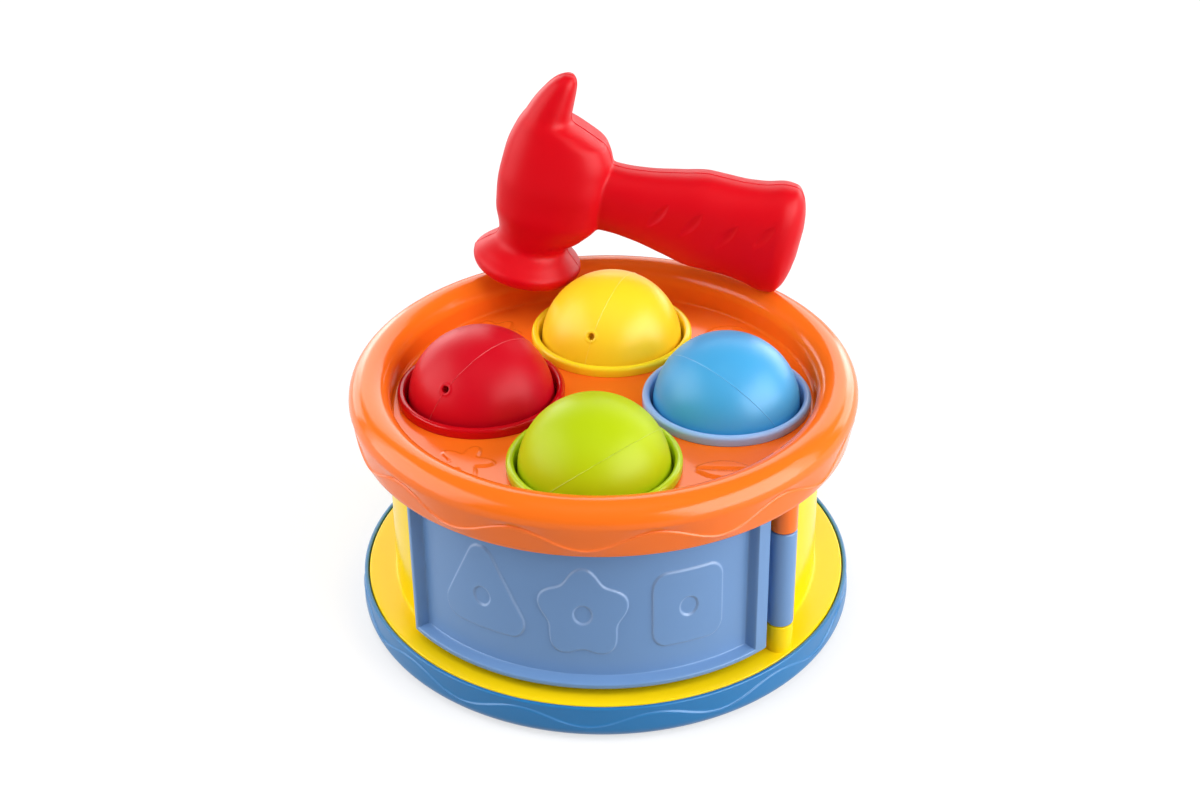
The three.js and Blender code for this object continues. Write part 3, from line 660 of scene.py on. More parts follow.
def wavy_rows(foot, head, wave):
    """Profile of a straight wall from foot to head, with its rows close together at the band's edge."""
    edge = wave_middle(wave) + WAVE_EDGE * np.linspace(-1.0, 1.0, WAVE_EDGE_ROWS)
    lower = np.linspace(foot[1], edge[0], WAVE_WALL_ROWS)
    upper = np.linspace(edge[-1], head[1], WAVE_WALL_ROWS)
    heights = [*lower, *edge[1:-1], *upper]
    return [(np.interp(z, (foot[1], head[1]), (foot[0], head[0])), z) for z in heights]


def wave_swing(azimuth, wave):
    """Height of the band's edge above its middle."""
    _, rise = wave
    return -rise / 2 * np.cos(np.radians(WAVE_COUNT * azimuth))


def wave_painted_highlight(radius, azimuth, height, wave, wall):
    """Painted highlight along the band's edge, as paleness on skin outside the given radius."""
    off = height - wave_middle(wave) - wave_swing(azimuth, wave)
    return WAVE_PAINTED_HIGHLIGHT * np.exp(-((off / WAVE_EDGE) ** 2)) * (radius > wall)


def wavy_relief(azimuth, height, foot, head, wave, proud):
    """Extra radius and height that turn a plain wall's rows into the wavy band."""
    middle = wave_middle(wave)
    swing = wave_swing(azimuth, wave)
    follow = np.where(height < middle, (height - foot) / (middle - foot), (head - height) / (head - middle))
    below = smoothstep(height, middle + WAVE_EDGE, middle - WAVE_EDGE)
    return proud * below, swing * np.clip(follow, 0.0, 1.0)


# Places of the hinge, the screws and the balls
HINGE = polar(HINGE_RADIUS, HINGE_AZIMUTH)
BASE_SCREWS = [polar(BASE_SCREW_CIRCLE, azimuth) for azimuth in BASE_SCREW_AZIMUTHS]
TRAY_SCREWS = [polar(POST_CIRCLE, azimuth) for azimuth in POST_AZIMUTHS]
# Each ball's azimuth, where its blow hole points, and the direction its parting seam's plane faces
BALLS = {
    "green": (-90, (-0.26, 0.72, -0.65), (-0.535, 0.463, 0.707)),
    "blue": (0, (0.78, -0.6, -0.17), (0.587, 0.612, 0.53)),
    "yellow": (90, (-0.23, -0.83, 0.51), (0.931, -0.327, -0.162)),
    "red": (180, (-0.37, -0.74, 0.56), (0.73, -0.595, -0.337)),
}
BALL_PLACES = {colour: polar(BALL_CIRCLE, azimuth) for colour, (azimuth, _, _) in BALLS.items()}


# Base dish with the wells for the screws
def make_base():
    wall_top = PLATE_TOP - BASE_LIP
    ledge = BASE_INNER - BASE_LEDGE
    profile = [
        *line((0.0, 0.0), (BASE_RADIUS - BASE_EDGE, 0.0), BASE_FLOOR_STEPS)[:-1],
        *arc(BASE_RADIUS - BASE_EDGE, BASE_EDGE, BASE_EDGE, -90, 0, BASE_EDGE_STEPS)[:-1],
        *wavy_rows((BASE_RADIUS, BASE_EDGE), (BASE_RADIUS, wall_top), BASE_WAVE),
        *arc(BASE_RADIUS - BASE_LIP, wall_top, BASE_LIP, 0, 90, EDGE_STEPS)[1:],
        *arc(BASE_INNER + BASE_LIP, wall_top, BASE_LIP, 90, 180, EDGE_STEPS),
        (BASE_INNER, PLATE_BOTTOM - FIT),
        (ledge, PLATE_BOTTOM - FIT),
        (ledge, BASE_FLOOR),
        (0.0, BASE_FLOOR),
    ]

    def relief(azimuth, radius, height):
        out, up = wavy_relief(azimuth, height, BASE_EDGE, wall_top, BASE_WAVE, BASE_RELIEF)
        outside = radius > BASE_RADIUS - BASE_EDGE
        return out * outside * smoothstep(height, 0.0, BASE_EDGE), up * (radius > BASE_RADIUS - BASE_LIP / 2)

    boss_top = SCREW_RECESS + BOSS_WALL
    bosses = [post(BOSS_RADIUS, BASE_FLOOR / 2, boss_top - FIT, place) for place in BASE_SCREWS]
    bosses += [post(BOSS_RADIUS, BASE_FLOOR / 2, PLATE_BOTTOM - FIT, place) for place in TRAY_SCREWS]
    places = BASE_SCREWS + TRAY_SCREWS
    recesses = [drill(SCREW_HEAD_RADIUS + FIT, -CUT_MARGIN, SCREW_RECESS, place) for place in places]
    holes = [drill(HOLE_RADIUS, SCREW_RECESS - CUT_MARGIN, PLATE_BOTTOM, place) for place in places]
    base = make_object("base_dish", revolved(profile, relief=relief))
    combine(base, bosses, "UNION")
    combine(base, recesses, "DIFFERENCE")
    combine(base, holes, "DIFFERENCE")
    # Painted highlight along the base's wave edge, as paler skin
    paint_edge_highlight(base.data, lambda r, a, z: wave_painted_highlight(r, a, z, BASE_WAVE, BASE_INNER + BASE_LIP))
    dress(base, "drum", "base", "base_blue")


# Drum body: plate, wall with the doorway, lower hinge post and the bosses for the short screws
def make_drum_body():
    flange = PLATE_RADIUS - PLATE_EDGE
    profile = [
        (0.0, PLATE_BOTTOM),
        *arc(flange, PLATE_BOTTOM + PLATE_EDGE, PLATE_EDGE, -90, 0, EDGE_STEPS),
        *arc(flange, PLATE_TOP - PLATE_EDGE, PLATE_EDGE, 0, 90, PLATE_EDGE_STEPS),
        *line((flange, PLATE_TOP), (WALL_OUTER + WALL_FILLET, PLATE_TOP), PLATE_STEPS)[1:-1],
        *arc(WALL_OUTER + WALL_FILLET, PLATE_TOP + WALL_FILLET, WALL_FILLET, -90, -180, FILLET_STEPS),
        *arc(WALL_OUTER - WALL_EDGE, WALL_TOP - WALL_EDGE, WALL_EDGE, 0, 90, EDGE_STEPS),
        *arc(WALL_INNER + WALL_EDGE, WALL_TOP - WALL_EDGE, WALL_EDGE, 90, 180, EDGE_STEPS),
        *arc(WALL_INNER - WALL_FILLET, PLATE_TOP + WALL_FILLET, WALL_FILLET, 0, -90, FILLET_STEPS),
        (0.0, PLATE_TOP),
    ]
    lap = math.degrees(DOOR_LAP / WALL_OUTER)
    doorway = arc_block(
        WALL_INNER - WALL_THICKNESS,
        WALL_OUTER + WALL_THICKNESS,
        DOOR_LEFT + lap,
        DOOR_RIGHT - lap,
        PLATE_TOP + DOORWAY_SILL,
        DOORWAY_TOP,
    )
    root = (PLATE_TOP + PLATE_BOTTOM) / 2
    post_top = KNUCKLE_BOTTOM - FIT
    bosses = [post(BOSS_RADIUS, SCREW_RECESS + BOSS_WALL, root, place) for place in BASE_SCREWS]
    hole_top = SCREW_RECESS + BASE_SCREW_LENGTH - SCREW_HEAD_HEIGHT + SCREW_END_GAP
    holes = [drill(HOLE_RADIUS, 0.0, hole_top, place) for place in BASE_SCREWS]
    holes += [drill(HOLE_RADIUS, 0.0, PLATE_TOP + CUT_MARGIN, place) for place in TRAY_SCREWS]
    body = make_object("drum_shell", revolved(profile))
    combine(body, [doorway], "DIFFERENCE")
    combine(body, [post(KNUCKLE_RADIUS, root, post_top, HINGE), *bosses], "UNION")
    combine(body, [post(PIN_RADIUS, post_top - CUT_MARGIN, KNUCKLE_BOTTOM + PIN_LENGTH, HINGE)], "UNION")
    combine(body, holes, "DIFFERENCE")
    dress(body, "drum", "drum_body", "drum_yellow")


# Motifs raised on the tray's floor: distance outside each outline
def lobed(x, y, count, middle, swing):
    return np.hypot(x, y) - MOTIF_RADIUS * (middle + swing * np.cos(count * np.arctan2(y, x)))


def star(x, y):
    return lobed(x, y, *STAR_LOBES)


def flower(x, y):
    return np.maximum(lobed(x, y, *FLOWER_LOBES), FLOWER_EYE - np.hypot(x, y))


def leaf(x, y):
    blade = np.maximum(np.hypot(x, y - LEAF_OFFSET), np.hypot(x, y + LEAF_OFFSET)) - LEAF_REACH
    return np.maximum(blade, LEAF_VEIN - np.abs(y))


def moon(x, y):
    return np.maximum(np.hypot(x, y) - MOON_RADIUS, MOON_BITE - np.hypot(x - MOON_SHIFT, y))


MOTIFS = {-135: star, -45: leaf, 45: moon, 135: flower}


def motif_rise(azimuth, radius):
    x = radius * np.cos(np.radians(azimuth))
    y = radius * np.sin(np.radians(azimuth))
    rise = np.zeros_like(x)
    for direction, motif in MOTIFS.items():
        centre = polar(MOTIF_CIRCLE, direction)
        inside = -motif(x - centre[0], y - centre[1])
        rise = np.maximum(rise, MOTIF_RISE * smoothstep(inside, *MOTIF_EDGE))
    return rise


# Tray: floor with four holes, rolled rim, skirt, register ring, screw posts and upper hinge post
def make_tray():
    inner_bead = RIM_BEAD - SKIRT_WALL
    register_outer = REGISTER_RADIUS + REGISTER_WALL
    skirt_foot = (SKIRT_RADIUS, SKIRT_BOTTOM + SKIRT_EDGE)
    skirt_head = (SKIRT_TOP_RADIUS, RIM_HEIGHT)
    profile = [
        (0.0, WALL_TOP),
        (REGISTER_RADIUS, WALL_TOP),
        (REGISTER_RADIUS, WALL_TOP - REGISTER_DEPTH),
        (register_outer, WALL_TOP - REGISTER_DEPTH),
        (register_outer, FLOOR_TOP),
        *arc(RIM_RADIUS, RIM_HEIGHT, inner_bead, 180, 0, RIM_INSIDE_STEPS),
        (SKIRT_RADIUS - SKIRT_WALL, SKIRT_BOTTOM),
        *arc(SKIRT_RADIUS - SKIRT_EDGE, SKIRT_BOTTOM + SKIRT_EDGE, SKIRT_EDGE, -90, 0, EDGE_STEPS)[:-1],
        *wavy_rows(skirt_foot, skirt_head, SKIRT_WAVE),
        *arc(RIM_RADIUS, RIM_HEIGHT, RIM_BEAD, 0, 180, RIM_STEPS)[1:],
        *arc(FLOOR_RADIUS - FLOOR_FILLET, FLOOR_TOP + FLOOR_FILLET, FLOOR_FILLET, 0, -90, FILLET_STEPS),
        *line((FLOOR_RADIUS - FLOOR_FILLET, FLOOR_TOP), (0.0, FLOOR_TOP), TRAY_FLOOR_STEPS)[1:],
    ]

    def relief(azimuth, radius, height):
        out, up = wavy_relief(azimuth, height, skirt_foot[1], skirt_head[1], SKIRT_WAVE, SKIRT_RELIEF)
        outside = (radius > SKIRT_RADIUS - SKIRT_EDGE / 2) & (height < RIM_HEIGHT)
        out = out * outside * smoothstep(height, SKIRT_BOTTOM, skirt_foot[1])
        well = (radius < FLOOR_RADIUS - FLOOR_FILLET) & (height > FLOOR_TOP - FIT)
        return out, up * outside + motif_rise(azimuth, radius) * well

    post_bottom = KNUCKLE_TOP + FIT
    roof = RIM_HEIGHT + (RIM_BEAD + inner_bead) / 2
    hole_top = SCREW_RECESS + TRAY_SCREW_LENGTH - SCREW_HEAD_HEIGHT + SCREW_END_GAP
    wells = [
        drill(TUBE_RADIUS + FIT, WALL_TOP - CUT_MARGIN, FLOOR_TOP + CUT_MARGIN, place, BALL_SEGMENTS)
        for place in BALL_PLACES.values()
    ]
    posts = [post(BOSS_RADIUS, PLATE_TOP, (WALL_TOP + FLOOR_TOP) / 2, place) for place in TRAY_SCREWS]
    tray = make_object("tray_shell", revolved(profile, TRAY_SEGMENTS, relief=relief))
    combine(tray, wells, "DIFFERENCE")
    combine(tray, [post(KNUCKLE_RADIUS, post_bottom, roof, HINGE), *posts], "UNION")
    combine(tray, [post(PIN_RADIUS, KNUCKLE_TOP - PIN_LENGTH, post_bottom + CUT_MARGIN, HINGE)], "UNION")
    combine(tray, [drill(HOLE_RADIUS, 0.0, hole_top, place) for place in TRAY_SCREWS], "DIFFERENCE")
    # Painted highlight along the skirt's wave edge, as paler skin
    paint_edge_highlight(tray.data, lambda r, a, z: wave_painted_highlight(r, a, z, SKIRT_WAVE, SKIRT_RADIUS - SKIRT_EDGE))
    dress(tray, "drum", "tray", "tray_orange")


# Collars: rounded bead on the tray floor, tube through the hole, flexible fingers with a snap bump
def make_collars():
    crown = (COLLAR_RADIUS - GRIP_RADIUS - COLLAR_FLARE) / 2
    bead = COLLAR_RADIUS - crown
    foot = FLOOR_TOP - COLLAR_REACH
    barb = WALL_TOP - FIT
    collar = make_object("collar", revolved([
        (GRIP_RADIUS, foot),
        (TUBE_RADIUS, foot),
        (TUBE_RADIUS + COLLAR_BARB, barb),
        (TUBE_RADIUS, barb),
        (TUBE_RADIUS, FLOOR_TOP),
        *arc(COLLAR_RADIUS - FIT, FLOOR_TOP + FIT, FIT, -90, 0, COLLAR_FOOT_STEPS),
        *arc(bead, COLLAR_CROWN - crown, crown, 0, 180, COLLAR_CROWN_STEPS),
        (GRIP_RADIUS, BALL_HEIGHT),
        (GRIP_RADIUS, foot),
    ], COLLAR_SEGMENTS))
    slot = math.degrees(FINGER_SLOT / TUBE_RADIUS) / 2
    middles = [360 * (i + 0.5) / FINGER_COUNT for i in range(FINGER_COUNT)]
    inside = GRIP_RADIUS - CUT_MARGIN
    below = foot - CUT_MARGIN
    slots = [arc_block(inside, COLLAR_RADIUS, m - slot, m + slot, below, barb - FIT) for m in middles]
    combine(collar, slots, "DIFFERENCE")
    for colour, place in BALL_PLACES.items():
        ring = placed_copy(collar, f"{colour}_collar_ring", place)
        dress(ring, "drum", f"{colour}_collar", f"collar_{colour}")
    bpy.data.objects.remove(collar)


# Balls: a blow hole with its moulded lip on the parting seam
def make_ball(colour, hole, seam):
    rim = math.degrees(math.acos(BLOW_HOLE / BALL_RADIUS))
    lip_end = rim - LIP_SPAN
    lip = []
    for radius, height in arc(0.0, 0.0, BALL_RADIUS, rim, lip_end, LIP_STEPS):
        bump = 1.0 + LIP_RISE / BALL_RADIUS * math.exp(-(((radius - LIP_RADIUS) / LIP_WIDTH) ** 2))
        lip.append((radius * bump, height * bump))
    mouth = lip[0][1]
    profile = [
        (0.0, mouth - BLOW_HOLE_DEPTH),
        (BLOW_HOLE_END, mouth - BLOW_HOLE_DEPTH),
        (BLOW_HOLE_NECK, mouth - BLOW_HOLE_DEPTH / 3),
        *lip,
        *arc(0.0, 0.0, BALL_RADIUS, lip_end, -90, BALL_STEPS)[1:-1],
        (0.0, -BALL_RADIUS),
    ]
    ball = make_object(f"{colour}_ball_skin", revolved(profile, BALL_SEGMENTS), SKIN_SHARP_ANGLE)
    turn = Vector((0, 0, 1)).rotation_difference(Vector(hole)).to_matrix().to_4x4()
    ball.data.transform(turn)
    raise_seam(ball, seam, *BALL_SEAM)
    ball.data.transform(Matrix.Translation(Vector((*BALL_PLACES[colour], BALL_HEIGHT)) * MM))
    dress(ball, f"{colour}_drop", f"{colour}_ball", f"ball_{colour}")


# Door: curved panel in a rib frame, three raised figures, leaf and knuckle
def polygon_distance(x, y, sides, start):
    """Distance outside a regular polygon with rounded corners, one of them in the direction start."""
    reach = (FIGURE_WIDTH / 2 - FIGURE_ROUNDING) / math.sin(sides // 2 * math.pi / sides)
    inner = reach * math.cos(math.pi / sides)
    sector = 2 * math.pi / sides
    local = (np.arctan2(y, x) - math.radians(start)) % sector - sector / 2
    radius = np.hypot(x, y)
    across = radius * np.cos(local) - inner
    along = np.abs(radius * np.sin(local)) - inner * math.tan(math.pi / sides)
    outside = np.hypot(np.maximum(across, 0.0), np.maximum(along, 0.0))
    return np.where(across > 0, outside, across) - FIGURE_ROUNDING


def flower_distance(x, y):
    turn = np.arctan2(y, x) - math.pi / 2
    return np.hypot(x, y) - FIGURE_WIDTH / 2 - PETAL_DEPTH * (np.cos(PETAL_COUNT * turn) - 1.0)


def figure_inside(azimuth, z):
    """Distance inside the triangle, flower or square, each with an opening in its middle."""
    middle = (DOOR_LEFT + DOOR_RIGHT) / 2 + FIGURE_SHIFT
    shapes = (
        lambda x, y: polygon_distance(x, y, 3, 90),
        flower_distance,
        lambda x, y: polygon_distance(x, y, 4, 45),
    )
    y = (z - (DOOR_BOTTOM + DOOR_TOP) / 2) * FIGURE_WIDTH / FIGURE_HEIGHT
    depths = []
    for i, shape in enumerate(shapes):
        x = np.radians(azimuth - middle - FIGURE_PITCH * (i - 1)) * PANEL_OUTER
        depths.append(-np.maximum(shape(x, y), FIGURE_EYE - np.hypot(x, y)))
    return np.maximum.reduce(depths)


def figure_painted_highlight(radius, azimuth, z):
    """Painted highlight along the figures' edges, as paleness on the front of the panel."""
    edge = np.exp(-((figure_inside(azimuth, z) / FIGURE_HIGHLIGHT_WIDTH) ** 2))
    return FIGURE_PAINTED_HIGHLIGHT * edge * (radius > (DOOR_INNER + PANEL_OUTER) / 2)


def on_cylinder(radius, azimuth, height):
    turn = np.radians(azimuth)
    return np.stack([radius * np.cos(turn), radius * np.sin(turn), height], axis=-1).reshape(-1, 3)


def door_panel():
    """Closed curved panel: rib frame and figures outside, a plain face inside."""
    span = math.radians(DOOR_RIGHT - DOOR_LEFT) * PANEL_OUTER
    margin = RIB_WIDTH + RIB_MARGIN
    s = spaced(0.0, span, margin, HINGE_RIB_WIDTH + RIB_MARGIN)
    z = spaced(DOOR_BOTTOM, DOOR_TOP, margin, margin)
    s, z = np.meshgrid(s, z)
    edge = np.minimum.reduce([s, span - s, z - DOOR_BOTTOM, DOOR_TOP - z])
    inset = np.minimum(edge - RIB_WIDTH, span - s - HINGE_RIB_WIDTH)
    rib = smoothstep(inset, RIB_DRAFT, -RIB_DRAFT)
    shoulder = np.sqrt(1.0 - (1.0 - np.clip(edge / RIB_ROUNDING, 0.0, 1.0)) ** 2)
    azimuth = DOOR_LEFT + np.degrees(s / PANEL_OUTER)
    radius = PANEL_OUTER + RIB_RISE * rib - RIB_ROUNDING * (1.0 - shoulder)
    raised = smoothstep(figure_inside(azimuth, z), -FIGURE_EDGE, FIGURE_EDGE)
    radius = radius + FIGURE_RISE * raised * (1.0 - rib)
    rows, columns = s.shape
    bottom = list(range(columns))
    right = [i * columns + columns - 1 for i in range(1, rows - 1)]
    top = [(rows - 1) * columns + j for j in range(columns)]
    left = [i * columns for i in range(1, rows - 1)]
    border = bottom + right + top[::-1] + left[::-1]
    front = on_cylinder(radius, azimuth, z)
    back = on_cylinder(np.full(len(border), DOOR_INNER), azimuth.ravel()[border], z.ravel()[border])
    behind = {spot: rows * columns + k for k, spot in enumerate(border)}
    faces = grid_faces(rows, columns, False)
    for a, b in zip(border, border[1:] + border[:1]):
        faces.append((a, b, behind[b], behind[a]))
    for j in range(columns - 1):
        strip = [bottom[j + 1], bottom[j], *(left if j == 0 else []), top[j], top[j + 1]]
        strip += right[::-1] if j == columns - 2 else []
        faces.append(tuple(behind[spot] for spot in strip))
    return np.concatenate([front, back]), faces


def make_door():
    root = DOOR_RIGHT - math.degrees(RIB_ROUNDING / PANEL_OUTER)
    front = PANEL_OUTER + STRAP_RISE
    back = PANEL_OUTER - STRAP_DEPTH
    strap = arc_block(back, front, root, HINGE_AZIMUTH, KNUCKLE_BOTTOM, KNUCKLE_TOP)
    knuckle = post(KNUCKLE_RADIUS, KNUCKLE_BOTTOM, KNUCKLE_TOP, HINGE, KNUCKLE_ROUNDING, KNUCKLE_SEGMENTS)
    bore = drill(PIN_RADIUS + FIT, KNUCKLE_BOTTOM - CUT_MARGIN, KNUCKLE_TOP + CUT_MARGIN, HINGE)
    door = make_object("door_panel", door_panel())
    combine(door, [strap], "UNION")
    combine(door, [knuckle], "UNION")
    combine(door, [bore], "DIFFERENCE")
    # Painted highlight along the figures' edges, as paler skin
    paint_edge_highlight(door.data, figure_painted_highlight)
    dress(door, "door_leaf", "door", "door_blue")


# Hammer sections
SHOULDER = CLAW_HEIGHT - NECK_HEIGHT
CLAW = CLAW_TIP - CLAW_HEIGHT
GRIP = HANDLE_LENGTH - HEAD_WIDTH
HEAD_SECTIONS = (
    # height, centre along the handle, half width, half thickness, squareness
    (0.0, 0.0, FACE_RADIUS * 0.87, FACE_RADIUS * 0.87, 2.0),
    (FACE_EDGE / 3, 0.0, FACE_RADIUS * 0.96, FACE_RADIUS * 0.96, 2.0),
    (FACE_EDGE, 0.0, FACE_RADIUS, FACE_RADIUS, 2.0),
    (NECK_HEIGHT * 0.62, 0.0, FACE_RADIUS * 0.86, FACE_RADIUS * 0.86, 2.0),
    (NECK_HEIGHT, HEAD_LEAN * 0.13, NECK_RADIUS, NECK_RADIUS, 2.0),
    (NECK_HEIGHT + SHOULDER * 0.13, HEAD_LEAN * 0.76, HEAD_WIDTH * 0.8, HEAD_THICKNESS * 0.9, 2.4),
    (NECK_HEIGHT + SHOULDER * 0.3, HEAD_LEAN * 1.07, HEAD_WIDTH * 0.97, HEAD_THICKNESS, HEAD_SQUARENESS),
    (NECK_HEIGHT + SHOULDER * 0.5, HEAD_LEAN, HEAD_WIDTH, HEAD_THICKNESS, HEAD_SQUARENESS),
    (NECK_HEIGHT + SHOULDER * 0.7, HEAD_LEAN, HEAD_WIDTH * 0.97, HEAD_THICKNESS * 0.91, SHOULDER_SQUARENESS),
    (NECK_HEIGHT + SHOULDER * 0.86, HEAD_LEAN * 0.8, HEAD_WIDTH * 0.84, HEAD_THICKNESS * 0.78,
     SHOULDER_SQUARENESS),
    (NECK_HEIGHT + SHOULDER * 0.94, HEAD_LEAN * 0.04, HEAD_WIDTH * 0.61, HEAD_THICKNESS * 0.69,
     SHOULDER_SQUARENESS),
    (CLAW_HEIGHT, -CLAW_LEAN, CLAW_WIDTH, CLAW_THICKNESS, CLAW_SQUARENESS),
    (CLAW_HEIGHT + CLAW * 0.28, -CLAW_LEAN * 0.65, CLAW_WIDTH * 0.87, CLAW_THICKNESS * 0.86, CLAW_SQUARENESS),
    (CLAW_HEIGHT + CLAW * 0.57, -CLAW_LEAN * 0.1, CLAW_WIDTH * 0.71, CLAW_THICKNESS * 0.7, CLAW_SQUARENESS),
    (CLAW_HEIGHT + CLAW * 0.85, CLAW_LEAN * 0.56, CLAW_WIDTH * 0.49, CLAW_THICKNESS * 0.51, CLAW_SQUARENESS),
    (CLAW_TIP, CLAW_LEAN, CLAW_WIDTH * 0.21, CLAW_THICKNESS * 0.26, 2.0),
)
HANDLE_SECTIONS = (
    # place along the handle, half height, half thickness
    (HEAD_WIDTH - HANDLE_ROOT / 2, HANDLE_ROOT, HANDLE_THICKNESS * 0.81),
    (HEAD_WIDTH + GRIP * 0.1, HANDLE_ROOT, HANDLE_THICKNESS * 0.81),
    (HEAD_WIDTH + GRIP * 0.22, HANDLE_ROOT * 1.07, HANDLE_THICKNESS * 0.85),
    (HEAD_WIDTH + GRIP * 0.37, HANDLE_PALM * 0.87, HANDLE_THICKNESS * 0.94),
    (HEAD_WIDTH + GRIP * 0.52, HANDLE_PALM, HANDLE_THICKNESS),
    (HEAD_WIDTH + GRIP * 0.66, HANDLE_PALM, HANDLE_THICKNESS),
    (HEAD_WIDTH + GRIP * 0.77, HANDLE_PALM * 1.05, HANDLE_THICKNESS * 1.02),
    (HANDLE_LENGTH - HANDLE_CAP, HANDLE_END * 0.98, HANDLE_THICKNESS * 1.02),
    (HANDLE_LENGTH - HANDLE_CAP * 0.61, HANDLE_END * 0.97, HANDLE_THICKNESS * 0.94),
    (HANDLE_LENGTH - HANDLE_CAP * 0.27, HANDLE_END * 0.81, HANDLE_THICKNESS * 0.73),
    (HANDLE_LENGTH - HANDLE_CAP * 0.08, HANDLE_END * 0.54, HANDLE_THICKNESS * 0.46),
    (HANDLE_LENGTH, HANDLE_END * 0.28, HANDLE_THICKNESS * 0.2),
)


def rounded(value, squareness):
    return np.sign(value) * np.abs(value) ** (2.0 / squareness)


def sections_at(table, wanted):
    """Smooth columns of a table of sections, at the wanted values of its first column."""
    return [through(table[:, 0], column, wanted)[:, None] for column in table.T[1:]]


def hammer_head():
    table = np.array(HEAD_SECTIONS)
    heights = np.linspace(table[0, 0], table[-1, 0], HEAD_ROWS)
    centre, width, thickness, square = sections_at(table, heights)
    turn = np.linspace(0, 2 * math.pi, HAMMER_SEGMENTS, endpoint=False)[None, :]
    x = centre + width * rounded(np.cos(turn), square)
    y = thickness * rounded(np.sin(turn), square)
    return lofted(np.stack([x, y, np.broadcast_to(heights[:, None], x.shape)], axis=-1))


def hammer_handle():
    table = np.array(HANDLE_SECTIONS)
    cap = HANDLE_LENGTH - HANDLE_CAP * CAP_SHARE
    grip = np.linspace(table[0, 0], cap, HANDLE_ROWS)
    along = np.concatenate([grip[:-1], np.linspace(cap, HANDLE_LENGTH, CAP_ROWS)])
    half, thickness = sections_at(table, along)
    turn = np.linspace(0, 2 * math.pi, HAMMER_SEGMENTS, endpoint=False)[None, :]
    z = HANDLE_HEIGHT + half * rounded(np.cos(turn), HANDLE_SQUARENESS)
    y = thickness * rounded(np.sin(turn), HANDLE_SQUARENESS)
    return lofted(np.stack([np.broadcast_to(along[:, None], z.shape), y, z], axis=-1))


def press_grip_marks(mesh):
    """Slanting lens-shaped dents on both sides of the handle."""
    x, y, z = points_of(mesh)
    slant = math.radians(MARK_SLANT)
    depth = np.zeros_like(y)
    for mark_x, mark_z in GRIP_MARKS:
        along = (x - mark_x) * math.cos(slant) + (z - mark_z) * math.sin(slant)
        across = (z - mark_z) * math.cos(slant) - (x - mark_x) * math.sin(slant)
        width = MARK_WIDTH * np.maximum(1.0 - (along / MARK_REACH) ** 2, MARK_END)
        hollow = np.maximum(1.0 - (across / width) ** 2, 0.0)
        depth += MARK_DEPTH * width / MARK_WIDTH * hollow
    y = y - np.copysign(depth, y)
    mesh.vertices.foreach_set("co", (np.stack([x, y, z], axis=-1) * MM).ravel())


def make_hammer():
    hammer = make_object("hammer_skin", hammer_head(), SKIN_SHARP_ANGLE)
    combine(hammer, [hammer_handle()], "UNION")
    remesh = hammer.modifiers.new("skin", "REMESH")
    remesh.mode = "VOXEL"
    remesh.voxel_size = HAMMER_VOXEL * MM
    soften = hammer.modifiers.new("soften", "SMOOTH")
    soften.factor = SOFTEN_FACTOR
    soften.iterations = SOFTEN_ROUNDS
    apply_modifiers(hammer)
    press_grip_marks(hammer.data)
    raise_seam(hammer, (0, 1, 0), *HAMMER_SEAM)
    heading = Matrix.Rotation(math.radians(HAMMER_HEADING), 4, "Z")
    tilt = Matrix.Rotation(math.radians(HAMMER_TILT), 4, "Y")
    hammer.data.transform(Matrix.Translation(Vector(HAMMER_PLACE) * MM) @ heading @ tilt)
    dress(hammer, "mallet", "hammer", "hammer_red")


# Screws from below: pan head with a cross recess, and a plain shank
def turned(places, degrees):
    angle = math.radians(degrees)
    return places @ np.array([[math.cos(angle), math.sin(angle)], [-math.sin(angle), math.cos(angle)]])


def cross_recess(head, degrees):
    """One bar of the cross: a unit square, turned square-on, stretched to a bar and turned into place."""
    bar, faces = drill(math.sqrt(0.5), head - CROSS_DEPTH, head + CROSS_DEPTH, (0.0, 0.0), 4)
    bar[:, :2] = turned(turned(bar[:, :2], 45) * (CROSS_LENGTH, CROSS_WIDTH), degrees)
    return bar, faces


def make_screws(prefix, length, places, material):
    head = SCREW_RECESS - SCREW_HEAD_HEIGHT
    screw = make_object("screw", revolved([
        (0.0, head),
        *arc(SCREW_HEAD_RADIUS - SCREW_ROUNDING, head + SCREW_ROUNDING, SCREW_ROUNDING, -90, 0, FILLET_STEPS),
        (SCREW_HEAD_RADIUS, SCREW_RECESS),
        (SCREW_RADIUS, SCREW_RECESS),
        (SCREW_RADIUS, head + length - SCREW_RADIUS),
        (0.0, head + length),
    ], SCREW_SEGMENTS))
    for degrees in (0, 90):
        combine(screw, [cross_recess(head, degrees)], "DIFFERENCE")
    for i, place in enumerate(places):
        name = f"{prefix}_{i + 1}"
        dress(placed_copy(screw, f"{name}_turned", place), "drum", name, "screw_steel", material)
    bpy.data.objects.remove(screw)


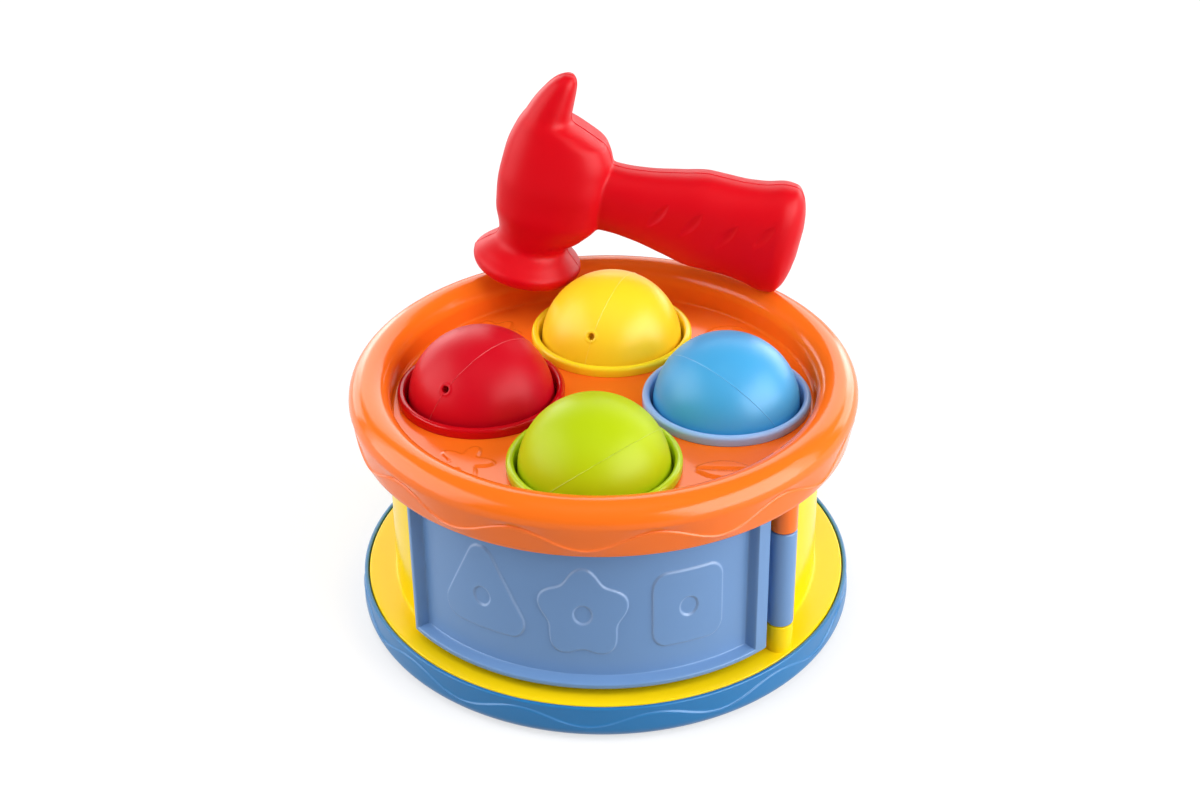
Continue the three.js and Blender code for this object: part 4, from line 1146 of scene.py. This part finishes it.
# Stage, light and camera
def make_floor():
    """White floor that glows where the camera sees it, straight or mirrored, and doesn't light the toy."""
    bpy.ops.mesh.primitive_plane_add(size=FLOOR_SIZE)
    floor = bpy.context.object
    floor.name = "studio_floor"
    material, nodes, links, shader = new_material("studio_white")
    shader.inputs["Base Color"].default_value = (FLOOR_COLOUR, FLOOR_COLOUR, FLOOR_COLOUR, 1.0)
    shader.inputs["Roughness"].default_value = FLOOR_ROUGHNESS
    shader.inputs["Emission Color"].default_value = WHITE
    rays = nodes.new("ShaderNodeLightPath")
    mirrored = nodes.new("ShaderNodeMath")
    links.new(rays.outputs["Is Glossy Ray"], mirrored.inputs[0])
    links.new(rays.outputs["Is Transmission Ray"], mirrored.inputs[1])
    seen = nodes.new("ShaderNodeMath")
    links.new(rays.outputs["Is Camera Ray"], seen.inputs[0])
    links.new(mirrored.outputs["Value"], seen.inputs[1])
    glow = nodes.new("ShaderNodeMath")
    glow.operation = "MULTIPLY"
    glow.inputs[1].default_value = FLOOR_GLOW
    links.new(seen.outputs["Value"], glow.inputs[0])
    links.new(glow.outputs["Value"], shader.inputs["Emission Strength"])
    floor.data.materials.append(material)


def make_world():
    world = bpy.data.worlds.new("studio")
    bpy.context.scene.world = world
    world.use_nodes = True
    background = world.node_tree.nodes["Background"]
    background.inputs["Color"].default_value = WHITE
    background.inputs["Strength"].default_value = SKY_STRENGTH


def make_lamp(name, place, size, power, in_dull, in_gloss):
    data = bpy.data.lights.new(name, "AREA")
    data.shape = "RECTANGLE"
    data.size, data.size_y = size
    data.energy = power
    lamp = bpy.data.objects.new(name, data)
    lamp.location = place
    lamp.rotation_euler = (Vector(LAMP_TARGET) - Vector(place)).to_track_quat("-Z", "Y").to_euler()
    lamp.visible_diffuse = in_dull
    lamp.visible_glossy = in_gloss
    bpy.context.scene.collection.objects.link(lamp)


def make_camera():
    data = bpy.data.cameras.new("photo_camera")
    data.sensor_fit = "HORIZONTAL"
    data.sensor_width = SENSOR_WIDTH
    data.lens = FOCAL_PIXELS * SENSOR_WIDTH / PHOTO_WIDTH
    data.shift_x = -CENTRE_OFFSET_PIXELS / PHOTO_WIDTH
    camera = bpy.data.objects.new("photo_camera", data)
    place = Vector(CAMERA_PLACE) * MM
    look = (Vector(CAMERA_TARGET) * MM - place).to_track_quat("-Z", "Y").to_matrix().to_4x4()
    roll = Matrix.Rotation(math.radians(CAMERA_ROLL), 4, "Z")
    camera.matrix_world = Matrix.Translation(place) @ look @ roll
    bpy.context.scene.collection.objects.link(camera)
    bpy.context.scene.camera = camera


bpy.context.scene.view_settings.view_transform = "Standard"
make_camera()
make_world()
make_floor()
for lamp_name, lamp in LAMPS.items():
    make_lamp(lamp_name, *lamp)
make_base()
make_drum_body()
make_tray()
make_collars()
for ball_colour, (_, ball_hole, ball_seam) in BALLS.items():
    make_ball(ball_colour, ball_hole, ball_seam)
make_door()
make_hammer()
screw_material = steel()
make_screws("base_screw", BASE_SCREW_LENGTH, BASE_SCREWS, screw_material)
make_screws("tray_screw", TRAY_SCREW_LENGTH, TRAY_SCREWS, screw_material)
